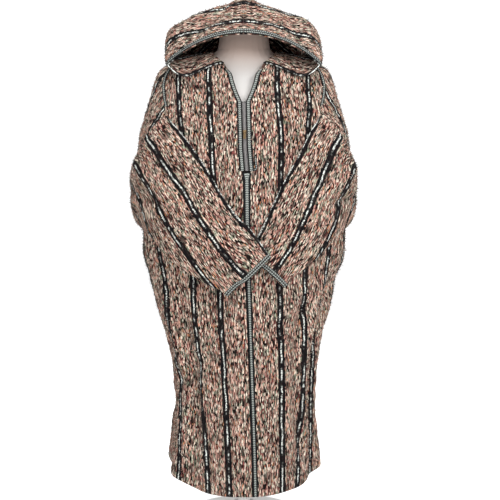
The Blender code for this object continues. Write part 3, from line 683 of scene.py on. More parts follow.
def wool_material():
    wool, start = new_material("striped wool", 0.95, sheen=0.015, gloss=0.02)
    lay = start.node("ShaderNodeUVMap", uv_map="cloth")
    pitch = start.node("ShaderNodeUVMap", uv_map="pitch").axis(0)
    across, along, waver = lay.axis(0), lay.axis(1), lay.noise(150.0, 3.0)
    yarn, middle = mixed_yarn(lay, across, along, waver)

    repeats = across / STRIPE_REPEAT
    nearest = repeats.maths("ROUND")
    drift = lay.place(nearest * 3.7, along * 16.0).noise(1.0, 4.0)
    offset = (repeats - nearest) * pitch
    aside = abs(offset) + (waver - 0.5) * 0.0030
    strand = abs(offset + (drift - 0.5) * 0.012) + (waver - 0.5) * 0.0034
    black = 1 - aside.between(BLACK_HALF - EDGE_SOFT, BLACK_HALF + EDGE_SOFT)
    loops, fleck = lay.noise(210.0, 2.0), lay.noise(420.0, 1.0)
    breaks = lay.place(nearest * 5.3, along * 38.0).noise(1.0, 5.0)
    shows = breaks.between(0.40, 0.56) * loops.between(0.38, 0.54)
    pale = (1 - strand.between(PALE_HALF - EDGE_SOFT, PALE_HALF + EDGE_SOFT)) * shows
    colour = yarn.mixed(BLACK, black * (0.94 + fleck * 0.06)).mixed(PALE, pale)
    height = (1 - middle) * 0.7 + fleck * 0.5 + pale * 0.8 + loops * 0.4
    feed(start, colour, height, distance=0.0016, strength=0.8)
    return wool


WOOL = wool_material()
print("wool nodes:", len(WOOL.node_tree.nodes))

# %% [markdown]
# ## Braid
#
# The edges carry a flat hand-made braid: lines of grey cord between black ones. One function
# makes each kind of braid from a list of bands across its width. The cords' ribs are a sine
# along the braid that slants to either side of each cord, as a plait does. The same sine paints
# shade into the grooves and a highlight onto the crests of the ribs.

# %% Braid materials
RIB = 0.0064
CORD_GREY = (0.285, 0.305, 0.285)
CORD_BLACK = (0.004, 0.004, 0.005)


def braid_material(name, bands, cords=3.0, between=CORD_GREY):
    """Black braid with another colour from the first to the second share of its width, and so on."""
    braid, start = new_material(name, 0.72, gloss=0.15)
    lay = start.node("ShaderNodeUVMap", uv_map="cloth")
    across, along = lay.axis(0), lay.axis(1)
    stops = [(0.0, CORD_BLACK)] + list(zip(bands, (between, CORD_BLACK) * 2))
    slant = (across * cords).maths("PINGPONG", 0.5)
    rib = ((along / RIB + slant * 0.9) * 2 * math.pi).maths("SINE") * 0.5 + 0.5
    fuzz = lay.noise(500.0, 2.0)
    # The rib sine darkens the colour in the grooves and lightens it on the crests: painted shade and
    # painted highlight, with random fuzz
    rib_shade_and_fuzz = (0.07 + rib * 0.93 + (fuzz - 0.5) * 0.3).grey()
    colour = across.ramp(stops, "CONSTANT").mixed(rib_shade_and_fuzz, 1.0, "MULTIPLY")
    feed(start, colour, rib + fuzz * 0.4, distance=0.0008)
    return braid


EDGE_BRAID = braid_material("edge braid", (0.28, 0.70))
SLIT_BRAID = braid_material("slit braid", (0.20, 0.68))
RIM_BRAID = braid_material("rim braid", (0.20, 0.42, 0.62, 0.84))
SEAM_BRAID = braid_material("seam braid", (0.30, 0.70), 4.0)
CUFF_BRAID = braid_material("cuff braid", (0.16, 0.44, 0.62, 0.90))
print("kinds of braid: 5")

# %% [markdown]
# ## Rows and edges of the panels
#
# All panels of the body share the same rows, so they meet point to point at the seams. The rows
# are closer together where the shoulder flattens out. Along each row the points are spaced
# evenly on the cloth, not in degrees, which would bunch them up at the sides.

# %% Rows and edges
ROW_STEP = 0.0062
ROW_KEYS = (HEM, UNDERARM, ZIP_FOOT, APEX, ZIP_HEAD, 1.335, 1.357, 1.370, 1.380, NECK)
SHOULDER_TURN = 80.0
ZIP_CLOSES = 0.025
SEAM_TURN = 0.03


def row_heights():
    heights = [np.array([ROW_KEYS[0]])]
    for low, high in zip(ROW_KEYS, ROW_KEYS[1:]):
        run = float(runs(ring_point(SHOULDER_TURN, np.array((low, high))), 0)[0])
        heights.append(np.linspace(low, high, max(2, round(run / ROW_STEP)) + 1)[1:])
    return np.concatenate(heights)


ROWS = row_heights()
print("rows of the panels:", len(ROWS))


def rows_between(low, high):
    picked = np.where((ROWS >= low - 1e-6) & (ROWS <= high + 1e-6))[0]
    return slice(picked[0], picked[-1] + 1)


def turn_at_x(x, height):
    share = min(1.0, abs(x) / float(BODY.smooth("half_width", height)))
    return math.copysign(math.degrees(math.asin(share ** (SQUARENESS / 2))), x)


def centre_edge(side, height):
    """The front's inner edge: at the closed seam, then the zip, then the open neck."""
    gap = float(np.interp(height, (ZIP_FOOT - ZIP_CLOSES, ZIP_FOOT), (SEAM / 2, ZIP_HALF)))
    if height > ZIP_HEAD:
        gap = float(SLIT.smooth("half_width", height))
    return turn_at_x(float(CENTRE.line("x", height)) + side * gap, height)


def outer_edge(side, height, armhole="front_edge"):
    if height <= UNDERARM:
        return side * SIDE_SEAM_TURN
    if height <= APEX:
        return side * float(ARMHOLE.line(armhole, height))
    return side * float(SHOULDER.line("turn", height))


def even_row(first, last, height, count):
    """Turns across a row, equally far apart along the cloth."""
    fine = np.linspace(first, last, 4 * count + 1)
    length = run_along(body_point(fine, np.full_like(fine, height)))
    return np.interp(np.linspace(0.0, length[-1], count + 1), length, fine)


# Each panel's grid, cloth coordinates and edge cells to keep clear, for the tufts
panels = {}


def panel_grid(turns, seed, near_edge):
    """Points and normals of a panel: its creases and lumps fade at the edges."""
    heights = np.repeat(ROWS[:, None], turns.shape[1], axis=1)
    fade = edge_fade(len(ROWS), 1, 3)[:, None] * edge_fade(turns.shape[1], near_edge, 3)
    out = crease_height(turns, heights) * edge_fade(turns.shape[1], 5, 5)
    out = out + lumps(turns.shape, seed) * fade
    return body_point(turns, heights, out), body_normal(turns, heights)


def add_cloth(name, node, points, normals, lay, ring=False):
    """Adds a sheet of wool and gives back its grid of points and normals."""
    mesh = wall_mesh("cloth_" + name, points, points - normals * CLOTH, lay, ring)
    add_piece("cloth_" + name, mesh, WOOL, [node])
    print_cut(name, points, ring)
    return np.concatenate((points, normals), axis=2)


# %% [markdown]
# ## The two fronts
#
# Each front runs from the centre seam to the side seam, the armhole and the shoulder seam. Its
# stripes aren't evenly spaced round the body, since the cloth is drawn in towards the hem, so a
# table says at which turn each stripe lies, from the wearer's right to the left.

# %% Front panels
STRIPE_COLUMNS = "side_z right_3 right_2 right_1 middle left_1 left_2 left_3"
STRIPE_ROWS = (
    (0.176, -51.5, -21.0, -6.2, 5.1, 24.5, 37.0, 62.0),
    (0.250, -51.5, -24.0, -7.6, 4.8, 25.2, 40.5, 67.0),
    (0.350, -53.5, -28.3, -9.2, 4.2, 26.0, 47.0, 73.0),
    (0.450, -56.0, -30.0, -10.2, 3.5, 24.8, 48.0, 74.0),
    (0.550, -56.0, -29.2, -10.8, 2.5, 22.0, 45.0, 70.0),
    (0.650, -52.5, -26.8, -10.2, 1.6, 18.4, 38.5, 58.0),
    (0.750, -49.5, -24.9, -9.9, 1.0, 15.8, 32.5, 51.0),
    (0.850, -50.0, -24.8, -10.1, 0.8, 15.0, 30.3, 50.0),
    (1.050, -53.0, -26.8, -11.5, 0.5, 14.6, 29.6, 51.0),
    (1.150, -56.0, -29.6, -12.8, 0.2, 15.0, 31.2, 55.0),
    (1.220, -60.0, -34.0, -14.5, 0.0, 15.3, 35.3, 60.0),
    (1.310, -64.0, -40.8, -16.8, 0.0, 16.1, 39.8, 64.0),
    (1.340, -68.0, -44.0, -18.3, 0.0, 17.2, 43.0, 68.0),
)
STRIPES = Table(STRIPE_COLUMNS, STRIPE_ROWS)
SHOULDER_FLAT = STRIPES.places[-1]
STRIPE_INDEX = np.arange(7) - 3
FRONT_COLUMNS = 66


def stripe_turns(height):
    """Turns of the stripes; above the shoulder they run straight back at their own x."""
    low = min(height, SHOULDER_FLAT)
    places = np.array(STRIPES.row(low))
    if height > low:
        for k, turn in enumerate(places):
            places[k] = turn_at_x(float(ring_point(turn, low)[0]), height) + 0.5 * STRIPE_INDEX[k]
    return places


def stripe_lay(turns, points):
    """Cloth coordinates of a front: across from the stripe table, along from the cloth's length."""
    lay = np.zeros((*turns.shape, 4))
    past = runs(points, 1)
    for i, height in enumerate(ROWS):
        places = stripe_turns(height)
        lay[i, :, 0] = np.interp(turns[i], places, STRIPE_INDEX * STRIPE_REPEAT)
        for j in range(1, turns.shape[1]):
            if abs(turns[i, j]) > abs(places[-1] if turns[i, j] > 0 else places[0]):
                lay[i, j, 0] = lay[i, j - 1, 0] + math.copysign(past[i, j - 1], turns[i, j])
    lay[1:, :, 1] = np.cumsum(runs(points, 0), axis=0)
    step = np.abs(np.gradient(lay[..., 0], axis=1))
    wide = np.linalg.norm(np.gradient(points, axis=1), axis=2)
    lay[..., 2] = blurred(np.clip(wide / np.maximum(step, 1e-6), 0.3, 1.6) * STRIPE_REPEAT, 4)
    return lay


def build_front(side, name, seed):
    rows = []
    for height in ROWS:
        last = outer_edge(side, height) - side * SEAM_TURN
        rows.append(even_row(centre_edge(side, height), last, height, FRONT_COLUMNS))
    turns = np.array(rows)
    points, normals = panel_grid(turns, seed, near_edge=4)
    lay = stripe_lay(turns, points)
    grid = add_cloth("front_" + name, "front_" + name, points, normals, lay)
    panels["front_" + name] = (grid, lay, (0, 1, 3, 1))
    return grid


fronts = {side: build_front(side, name, seed) for (side, name), seed in zip(SIDES, (11, 12))}

# %% [markdown]
# ## The back
#
# The back is one width of cloth that wraps forward over the shoulders to the braided seams.
# Its stripes hang from the centre back at an even repeat.

# %% Back panel
BACK_STRIPE_SHIFT = 0.020
BACK_COLUMNS = 150


def build_back():
    rows = []
    for height in ROWS:
        left = outer_edge(1, height, "back_edge") + SEAM_TURN
        right = 360.0 + outer_edge(-1, height, "back_edge") - SEAM_TURN
        rows.append(even_row(left, right, height, BACK_COLUMNS))
    turns = np.array(rows)
    points, normals = panel_grid(turns, 13, near_edge=3)
    lay = np.zeros((*turns.shape, 4))
    across = np.array([run_along(row) for row in points])
    centre = np.array([np.interp(180.0, *pair) for pair in zip(turns, across)])
    lay[..., 0] = across - centre[:, None] + BACK_STRIPE_SHIFT
    lay[1:, :, 1] = np.cumsum(runs(points, 0), axis=0)
    lay[..., 2] = STRIPE_REPEAT
    panels["back"] = (add_cloth("back", "back_panel", points, normals, lay), lay, (0, 1, 1, 1))


build_back()

# %% [markdown]
# ## The sleeves
#
# An empty sleeve hangs nearly flat: an outer layer and an inner one that meet in two soft folds.
# A ring of the sleeve starts at the bottom fold, where the long seam is, goes up the inner
# layer, over the top fold and down the outer layer. The rings are the same as in the solids, and
# the creases at the elbow and above the cuff are added on the outer layer.

# %% Sleeve tables
# Sleeves: share of the length, the top and bottom folds, the gap to what is under, and fullness
SLEEVE_COLUMNS = "along top_turn top_z low_turn low_z lift full"
SLEEVE_START = (0.00, ARMHOLE_TOP_TURN, APEX, SIDE_SEAM_TURN, UNDERARM, 0.0012, 0.0060)
SLEEVE_OVER_ROWS = (
    SLEEVE_START,
    (0.15, 30.0, 1.142, 85.0, 0.888, 0.0055, 0.0220),
    (0.30, 19.8, 1.078, 70.0, 0.868, 0.0060, 0.0300),
    (0.45, 13.2, 1.020, 54.0, 0.838, 0.0080, 0.0300),
    (0.60, 7.4, 0.956, 41.0, 0.790, 0.0160, 0.0250),
    (0.75, 1.0, 0.888, 28.0, 0.748, 0.0240, 0.0200),
    (0.90, -5.6, 0.820, 13.5, 0.702, 0.0260, 0.0160),
    (1.00, -10.0, 0.780, 5.0, 0.678, 0.0260, 0.0140),
)
SLEEVE_UNDER_ROWS = (
    SLEEVE_START,
    (0.15, 32.0, 1.142, 86.0, 0.890, 0.0055, 0.0200),
    (0.30, 24.0, 1.070, 73.0, 0.872, 0.0050, 0.0300),
    (0.45, 16.5, 0.998, 59.0, 0.845, 0.0050, 0.0280),
    (0.60, 11.0, 0.930, 45.0, 0.802, 0.0040, 0.0220),
    (0.75, 6.8, 0.872, 35.5, 0.768, 0.0040, 0.0160),
    (0.90, 2.5, 0.818, 25.0, 0.728, 0.0040, 0.0140),
    (1.00, -0.8, 0.786, 18.8, 0.700, 0.0040, 0.0130),
)
SLEEVE_OVER, SLEEVE_UNDER = (Table(SLEEVE_COLUMNS, rows) for rows in (SLEEVE_OVER_ROWS, SLEEVE_UNDER_ROWS))
print("rings that a sleeve is read from:", len(SLEEVE_OVER_ROWS))

# %% [markdown]
# The stripes drift across a sleeve as it tapers, and soft creases cross it at the elbow and above
# the cuff. Both are placed by shares of the sleeve, so that they follow its shape.

# %% Stripes and creases of the sleeves
# Share of the outer layer's width at which the next stripes lie, along the sleeve
OVER_STRIPE_ROWS = (
    (0.00, 0.19, 0.38),
    (0.14, 0.18, 0.33),
    (0.29, 0.24, 0.43),
    (0.43, 0.31, 0.64),
    (0.57, 0.34, 0.70),
    (0.71, 0.37, 0.76),
    (0.86, 0.44, 0.93),
    (1.00, 0.56, 1.12),
)
UNDER_STRIPE_ROWS = (
    (0.00, 0.18, 0.38),
    (0.14, 0.17, 0.35),
    (0.29, 0.23, 0.47),
    (0.43, 0.35, 0.74),
    (0.57, 0.43, 0.90),
    (0.71, 0.49, 1.00),
    (0.86, 0.55, 1.10),
    (1.00, 0.62, 1.22),
)

# Creases of a sleeve: shares along it and across its outer layer at both ends, half width, rise
OVER_CREASES = (
    (0.10, 0.25, 0.40, 0.50, 0.030, 0.0070),
    (0.16, 0.55, 0.44, 0.62, 0.026, -0.0084),
    (0.30, 0.20, 0.52, 0.34, 0.024, -0.0070),
    (0.42, 0.70, 0.66, 0.66, 0.026, 0.0070),
    (0.60, 0.30, 0.92, 0.42, 0.024, 0.0063),
    (0.70, 0.62, 0.95, 0.70, 0.022, -0.0070),
)
UNDER_CREASES = (
    (0.10, 0.28, 0.38, 0.46, 0.030, 0.0070),
    (0.18, 0.58, 0.46, 0.60, 0.026, -0.0098),
    (0.34, 0.40, 0.56, 0.30, 0.022, -0.0070),
    (0.44, 0.74, 0.70, 0.64, 0.026, 0.0070),
    (0.62, 0.34, 0.90, 0.44, 0.022, 0.0056),
)
print("creases of the sleeves:", len(OVER_CREASES), len(UNDER_CREASES))

# %% [markdown]
# At the armhole the sleeve's ring follows the edge of the hole, a hair inside it. Further down
# the edge matters less and less, until the ring lies flat between its two folds.

# %% Rings of a sleeve
SLEEVE_EDGE = 0.0080
SLEEVE_REST = 0.0016
SETTLE_SHARE = 0.45
RING_SPLIT = 4
SLEEVE_ROWS = 92
SLEEVE_SHARES = np.linspace(0.0, 1.0, SLEEVE_ROWS + 1)
ARMHOLE_END = 0.0012
SLEEVE_INSET = 1.1
SLEEVE_INNER_TURN = 0.2
SLEEVE_RISE_SHARE = 0.12
BULGE_POWER = 0.6
SLEEVE_WIDTH = 0.55
BLEND_ROWS = 4
INSET_REACH = 0.012
LARGEST_SLANT = 4.0
LUMPS_START = 0.05
LUMPS_END = 0.06
CUFF_LUMPS = 0.15


def armhole_inset(side, height):
    """Degrees that hold the sleeve's edge just inside the armhole, however the edge slants."""
    here = outer_edge(side, height, "back_edge")
    levels = (height - INSET_REACH, height + INSET_REACH)
    low, high = (ring_point(outer_edge(side, level, "back_edge"), level) for level in levels)
    step = ring_point(here + 0.5, height) - ring_point(here - 0.5, height)
    run = high - low
    square = run - step * np.dot(run, step) / np.dot(step, step)
    slant = np.linalg.norm(run) / max(np.linalg.norm(square), 1e-9)
    return SLEEVE_INSET * SEAM * min(slant, LARGEST_SLANT) / np.linalg.norm(step)


def armhole_lines(side):
    """The sleeve's first ring in turns and heights: its outer and inner layer, from the top."""
    spots = np.linspace(0, len(ARMHOLE_ROWS) - 1, RING_SPLIT * (len(ARMHOLE_ROWS) - 1) + 1)
    heights = np.interp(spots, np.arange(len(ARMHOLE_ROWS)), ARMHOLE.places[::-1])
    top, low = (ARMHOLE_TOP_TURN, APEX - ARMHOLE_END), (SIDE_SEAM_TURN, UNDERARM + ARMHOLE_END)
    outer, inner = [top], [top]
    for height in heights[1:-1]:
        outer.append((float(ARMHOLE.line("back_edge", height)) - armhole_inset(side, height), height))
        inner.append((float(ARMHOLE.line("front_edge", height)) + SLEEVE_INNER_TURN, height))
    return np.array((*outer, low)), np.array((*inner, low))


def sleeve_rings(table, side, creases, seed):
    """Points, normals and shares round each ring, from the bottom fold up the inner layer."""
    outer_line, inner_line = armhole_lines(side)
    top, low, count = outer_line[0], outer_line[-1], len(outer_line) - 1
    share = np.linspace(0.0, 1.0, count + 1)
    straight = top + (low - top) * share[:, None]
    bulge = np.sin(np.pi * np.clip(share, 1e-9, 1 - 1e-9)) ** BULGE_POWER
    bulge[[0, -1]] = 0.0
    bump = lumps((SLEEVE_ROWS + 1, 2 * count), seed)
    places, outs = [], []
    for row, along in enumerate(SLEEVE_SHARES):
        *folds, lift, full = table.row(along)
        upper, lower = (np.array(folds[:2]), np.array(folds[2:])) if along > 0 else (top, low)
        settled = min(1.0, along / SETTLE_SHARE)
        settled = settled * settled * (3 - 2 * settled)
        rise = min(1.0, along / SLEEVE_RISE_SHARE)
        edge = SLEEVE_EDGE * rise
        flat = upper + (lower - upper) * share[:, None]
        outer = flat + (outer_line - straight) * (1 - settled)
        inner = flat + (inner_line - straight) * (1 - settled)
        out = lift + edge / 2 + (full - edge / 2) * bulge * rise
        if along == 0.0:
            out = SLEEVE_REST * (1 - bulge)
        for k, (first, near, last, far, half, height) in enumerate(creases):
            start, end = (first, near * SLEEVE_WIDTH), (last, far * SLEEVE_WIDTH)
            out = out + ridge(along, share * SLEEVE_WIDTH, start, end, half, height, 1.3 * k) * bulge
        fade = min(1.0, along / LUMPS_START) * min(1.0, (1.0 - along) / LUMPS_END + CUFF_LUMPS)
        out = out + bump[row, : count + 1] * bulge * fade
        under = lift + edge / 2 * (1 - bulge)
        places.append(np.concatenate((inner[:0:-1], outer[:-1])))
        outs.append(np.concatenate((under[:0:-1], out[:-1])))
    places = np.array(places)
    points = body_point(side * places[..., 0], places[..., 1], np.array(outs))
    return points, sleeve_normals(points, side, places[0], count), np.concatenate((-share[:0:-1], share))


def sleeve_normals(points, side, first_ring, count):
    """Normals of the rings; the first rows turn over to the body's own normals."""
    across = np.roll(points, -1, axis=1) - np.roll(points, 1, axis=1)
    normals = unit(np.cross(across, np.gradient(points, axis=0))) * -side
    body = body_normal(side * first_ring[:, 0], first_ring[:, 1])
    normals[0] = body
    normals[0, 1:count] = -body[1:count]
    normals[0, count] = unit(points[0, count] - points[0, 0])
    normals[0, 0] = -normals[0, count]
    blend = np.linspace(0, 1, BLEND_ROWS + 1)[:, None, None]
    normals[: BLEND_ROWS + 1] = unit(normals[0] * (1 - blend) + normals[BLEND_ROWS] * blend)
    return normals


print("points along an armhole's edge:", len(armhole_lines(1)[0]))

# %% [markdown]
# Where the stripes lie on a ring is read from the sleeve's own table. The length along the warp is
# blended with the ring's mean, or the yarn would shear where the sleeve folds.

# %% Two sleeves
PAST_THIRD = 0.4
OWN_RUN_SHARE = 0.25


def build_sleeve(side, name, rings, stripe_rows, creases, seed):
    points, normals, shares = sleeve_rings(rings, side, creases, seed)
    count = points.shape[1] // 2
    stripes = Table("along second third", stripe_rows)
    lay = np.zeros((len(points), len(shares), 4))
    for row, along in enumerate(SLEEVE_SHARES):
        wide = runs(points[row, count:], 0).sum()
        second, third = stripes.row(along)
        marks = (-1.0, 0.0, second, third, 2 * third - second + PAST_THIRD)
        repeats = (-wide / STRIPE_REPEAT, 0.0, 1.0, 2.0, 3.0 + PAST_THIRD / (third - second))
        lay[row, :, 0] = np.interp(shares, marks, repeats) * STRIPE_REPEAT
        lay[row, :, 2] = np.clip(wide * second, 0.05, 0.1)
    run = runs(points, 0)
    run = run * OWN_RUN_SHARE + run.mean(axis=1, keepdims=True) * (1 - OWN_RUN_SHARE)
    lay[1:, :-1, 1] = np.cumsum(run, axis=0)
    lay[:, -1, 1] = lay[:, 0, 1]
    grid = add_cloth("sleeve_" + name, "sleeve_" + name, points, normals, lay, ring=True)
    panels["sleeve_" + name] = (grid[:, count:], lay[:, count:-1], (3, 4, 0, 0))
    return grid


sleeves = {
    -1: build_sleeve(-1, "right", SLEEVE_OVER, OVER_STRIPE_ROWS, OVER_CREASES, 21),
    1: build_sleeve(1, "left", SLEEVE_UNDER, UNDER_STRIPE_ROWS, UNDER_CREASES, 22),
}

# %% [markdown]
# ## The hood
#
# The hood is two halves joined over the top. Each hoop runs from the neck seam out to a soft
# fold on the shoulder and up over the head to the join, and the hoops go from the face edge back
# to the tip. Its stripes run side by side with the face edge.

# %% Tables of the hood
# Hood: share from the face edge to the tip, turn on the neck seam, fold, top seam, sag, arch
HOOD_ROWS = (
    (0.00, 30.6, 0.218, -0.115, 1.330, -0.150, 1.409, -0.034, 2.4, 1.00),
    (0.14, 44.0, 0.226, -0.088, 1.345, -0.118, 1.462, -0.016, 1.7, 1.40),
    (0.36, 76.0, 0.232, -0.030, 1.371, -0.030, 1.554, 0.000, 1.0, 2.45),
    (0.58, 108.0, 0.222, 0.045, 1.371, 0.060, 1.522, 0.004, 1.1, 2.40),
    (0.80, 142.0, 0.165, 0.130, 1.334, 0.145, 1.450, 0.004, 1.4, 2.00),
    (0.92, 164.0, 0.090, 0.196, 1.300, 0.205, 1.376, 0.002, 1.6, 1.80),
    (1.00, 180.0, 0.0002, 0.246, 1.284, 0.256, 1.314, 0.000, 1.8, 1.60),
)
HOOD = Table("back neck_turn fold_x fold_y fold_z top_y top_z sag wide tall", HOOD_ROWS)
HOOD_HOOPS = (
    (0.00, 0.035, 0.07, 0.11, 0.17, 0.24, 0.31, 0.38, 0.45)
    + (0.52, 0.59, 0.66, 0.73, 0.80, 0.86, 0.92, 0.96, 1.00)
)
# The side it is on (0 for both), shares back and round the hoop at its ends, half width, rise
HOOD_CREASES = (
    (0, 0.10, 0.55, 0.55, 0.62, 0.034, 0.0050),
    (0, 0.30, 0.80, 0.70, 0.70, 0.034, -0.0060),
    (0, 0.55, 0.50, 0.85, 0.60, 0.030, 0.0050),
    (-1, 0.25, 0.50, 0.60, 0.50, 0.045, 0.0130),
    (-1, 0.12, 0.72, 0.34, 0.78, 0.030, -0.0080),
    (1, 0.22, 0.50, 0.50, 0.50, 0.045, 0.0100),
    (1, 0.10, 0.70, 0.36, 0.62, 0.026, -0.0060),
)
print("hoops that the hood is read from:", len(HOOD_ROWS))

# %% [markdown]
# A hoop is a sagging line out to the fold and then a squared-off arch over the head. A hood could
# be draped by simulation, but the photograph fixes its outline, and hoops can be set to it.

# %% Hoops of the hood
HOOP_SPLIT = 4
HOOD_LOW = 24
HOOD_HIGH = 48
HOOD_LIFT = 0.0008
SAG_POWER = 1.8
HOOD_LENGTH = 0.55
HOOP_LENGTH = 0.60


def hoop(back):
    """Points of one hoop on the wearer's left, from the neck seam to the top seam."""
    neck_turn, fold_x, fold_y, fold_z, top_y, top_z, sag, wide, tall = HOOD.row(back)
    low = np.linspace(0.0, 1.0, HOOD_LOW + 1)[:-1]
    neck = ring_point(neck_turn, NECK) + np.array((0.0, 0.0, HOOD_LIFT))
    under = neck + (np.array((fold_x, fold_y, fold_z)) - neck) * low[:, None]
    under[:, 2] += sag * np.sin(np.pi * low**SAG_POWER)
    angle = 0.5 * np.pi * np.linspace(0.0, 1.0, HOOD_HIGH + 1)
    across, rise = np.maximum(np.cos(angle), 0.0) ** (2 / wide), np.sin(angle) ** (2 / tall)
    over = (fold_x * across, fold_y + (top_y - fold_y) * (1 - across), fold_z + (top_z - fold_z) * rise)
    return np.concatenate((under, np.stack(over, -1)))


def hood_grid(side, seed):
    spots = np.linspace(0, len(HOOD_HOOPS) - 1, HOOP_SPLIT * (len(HOOD_HOOPS) - 1) + 1)
    points = np.array([hoop(back) for back in np.interp(spots, np.arange(len(HOOD_HOOPS)), HOOD_HOOPS)])
    points[:, :, 0] = np.maximum(points[:, :, 0], SEAM / 2)
    normals = -unit(np.cross(np.gradient(points, axis=1), np.gradient(points, axis=0)))
    for edge in (normals[:, -1], normals[-1, :]):
        edge[:, 0] = 0.0
        edge[:] = unit(edge)
    rows, columns = points.shape[:2]
    fade = edge_fade(rows, 7, 6)[:, None] * edge_fade(columns, 4, 3)
    out = lumps((rows, columns), seed) * fade
    x = np.linspace(0.0, HOOD_LENGTH, rows)[:, None]
    y = np.linspace(0.0, HOOP_LENGTH, columns)[None, :]
    for k, (only, first, near, last, far, half, rise) in enumerate(HOOD_CREASES):
        if only in (0, side):
            start, end = (first * HOOD_LENGTH, near * HOOP_LENGTH), (last * HOOD_LENGTH, far * HOOP_LENGTH)
            out = out + ridge(x, y, start, end, half, rise, 1.1 * k + side) * fade
    points = points + normals * out[..., None]
    points[:, :, 0] = np.maximum(points[:, :, 0], SEAM / 2) * side
    normals[:, :, 0] *= side
    return points, normals


print("points on one hoop:", len(hoop(0.5)))

# %% [markdown]
# The two halves mirror each other, apart from the creases that lie on one side and the lumps. Cloth
# coordinates are counted from the face edge, so that the first stripe runs beside the rim.

# %% Two halves of the hood
FIRST_HOOD_STRIPE = 0.050
HOOD_STRIPE_DROP = 0.035


def build_hood(side, name, seed):
    points, normals = hood_grid(side, seed)
    lay = np.zeros((*points.shape[:2], 4))
    lay[1:, :, 0] = np.cumsum(runs(points, 0), axis=0)
    drop = np.clip(1.0 - np.linspace(-1.0, 1.0, points.shape[1]), 0.0, 1.0)
    lay[..., 0] -= FIRST_HOOD_STRIPE + HOOD_STRIPE_DROP * drop
    lay[:, 1:, 1] = np.cumsum(runs(points, 1), axis=1)
    lay[..., 2] = STRIPE_REPEAT
    grid = add_cloth("hood_" + name, "hood_" + name, points, normals, lay)
    panels["hood_" + name] = (grid, lay, (4, 0, 1, 0))
    return grid


hoods = {side: build_hood(side, name, seed) for (side, name), seed in zip(SIDES, (31, 32))}

# %% [markdown]
# ## Loops and loose ends of yarn
#
# Boucle wool has a fuzzy outline, because loops and ends of yarn stand a few millimetres off the
# cloth. They are short bent blades, thousands to a panel and joined into one mesh, each rooted on
# the panel and coloured by the cloth under it. They keep off the edges, where the braids lie.

# %% Tufts on every panel
TUFT_LENGTH = 0.0060
TUFT_WIDTH = 0.0011
TUFTS_PER_SQUARE_METRE = 26000
TUFT_SHORTEST = 0.45
TUFT_SPREAD = 0.75


def build_tufts(name, grid, lay, margins, seed):
    random = np.random.default_rng(seed)
    cells = cell_areas(grid[..., :3])
    count = int(TUFTS_PER_SQUARE_METRE * float(cells.sum()))
    bottom, top, near, far = margins
    window = (slice(bottom, cells.shape[0] - top), slice(near, cells.shape[1] - far))
    chance = np.zeros_like(cells)
    chance[window] = cells[window]
    i, j = np.divmod(random.choice(cells.size, count, p=chance.ravel() / chance.sum()), cells.shape[1])
    u, v = random.random((2, count, 1))

    def read(values):
        low = values[i, j] * (1 - v) + values[i, j + 1] * v
        return low * (1 - u) + (values[i + 1, j] * (1 - v) + values[i + 1, j + 1] * v) * u

    root, out = read(grid)[:, :3], unit(read(grid)[:, 3:])
    lean = unit(random.normal(size=(count, 3)))
    side = unit(np.cross(out, lean)) * TUFT_WIDTH / 2
    length = TUFT_LENGTH * (TUFT_SHORTEST + TUFT_SPREAD * random.random((count, 1)) ** 2)
    middle = root + (out * 0.55 + lean * 0.30) * length
    tip = middle + (out * 0.25 + lean * 0.55) * length
    root = root - out * CLOTH * 0.3
    shape = np.stack((root - side, root + side, middle + side * 0.8, middle - side * 0.8, tip), 1)
    first = 5 * np.arange(count)[:, None]
    faces = (first + np.array((0, 1, 2, 3))).tolist() + (first + np.array((3, 2, 4))).tolist()
    found = read(lay)
    corners = np.concatenate((np.repeat(found, 4, axis=0), np.repeat(found, 3, axis=0)))
    mesh = cloth_mesh(name, shape, faces, corners)
    mesh.shade_smooth()
    add_piece(name, mesh, WOOL, [])
    print(name, count)


for k, (key, (grid, lay, margins)) in enumerate(panels.items()):
    build_tufts("tufts_" + key, grid, lay, margins, 40 + k)

# %% [markdown]
# ## Braids on the edges
#
# A braid is made from the points of the panel under it: each row of the panel is read at a few
# places from its edge and moved out. Between the places the braid swells like a row of cords.

# %% Braid bands
REST = 0.0006
REST_ON_FOLD = 0.0010
BRAID = 0.0013
BRAID_START = 0.0005
BETWEEN_CORDS = 0.55
SLIT_BRAID_WIDTH = 0.0152
SLIT_BRAID_TOP = 1.380
SHOULDER_BRAID_WIDTH = 0.0110
SHOULDER_BRAID_SPAN = (1.225, 1.352)
RIM_BRAID_WIDTH = 0.0195
RIM_BRAID_FIRST = 4
CUFF_BRAID_WIDTH = 0.0150


def band_lay(points, run):
    """Cloth coordinates of a band: its share across, its length along."""
    lay = np.zeros((*points.shape[:2], 4))
    lay[..., 0] = np.linspace(0, 1, points.shape[1])
    lay[1:, :, 1] = np.cumsum(run)[:, None]
    return lay


def add_band(name, rows, material, nodes, lift=REST, ring=False):
    """A braid on rows of points and normals; four steps across make a cord."""
    points, ways = rows[..., :3], unit(rows[..., 3:])
    shares = np.linspace(0, 1, rows.shape[1])
    swell = np.abs(np.sin(np.pi * (rows.shape[1] // 4) * shares))
    high = points + ways * (lift + BRAID * (BETWEEN_CORDS + (1 - BETWEEN_CORDS) * swell))[:, None]
    low = points + ways * lift
    run = runs(points, 0).mean(axis=1)
    lay = band_lay(points, run)
    if ring:
        lay = np.concatenate((lay, lay[:1]), axis=0)
        lay[-1, :, 1] = lay[-2, :, 1] + run.mean()
        high, low, lay = (grid.transpose(1, 0, 2) for grid in (high, low, lay))
    add_piece(name, wall_mesh(name, high, low, lay, ring), material, nodes)


def add_edge_braid(edge, name, lines, width, cords, material, lift=REST, ring=False):
    """A braid along the start of each line of a panel."""
    places = np.linspace(BRAID_START, width, 4 * cords + 1)
    rows = np.array([read_along(line, places) for line in lines])
    add_band(f"braid_{edge}_{name}", rows, material, [f"{edge}_braid_{name}"], lift, ring)


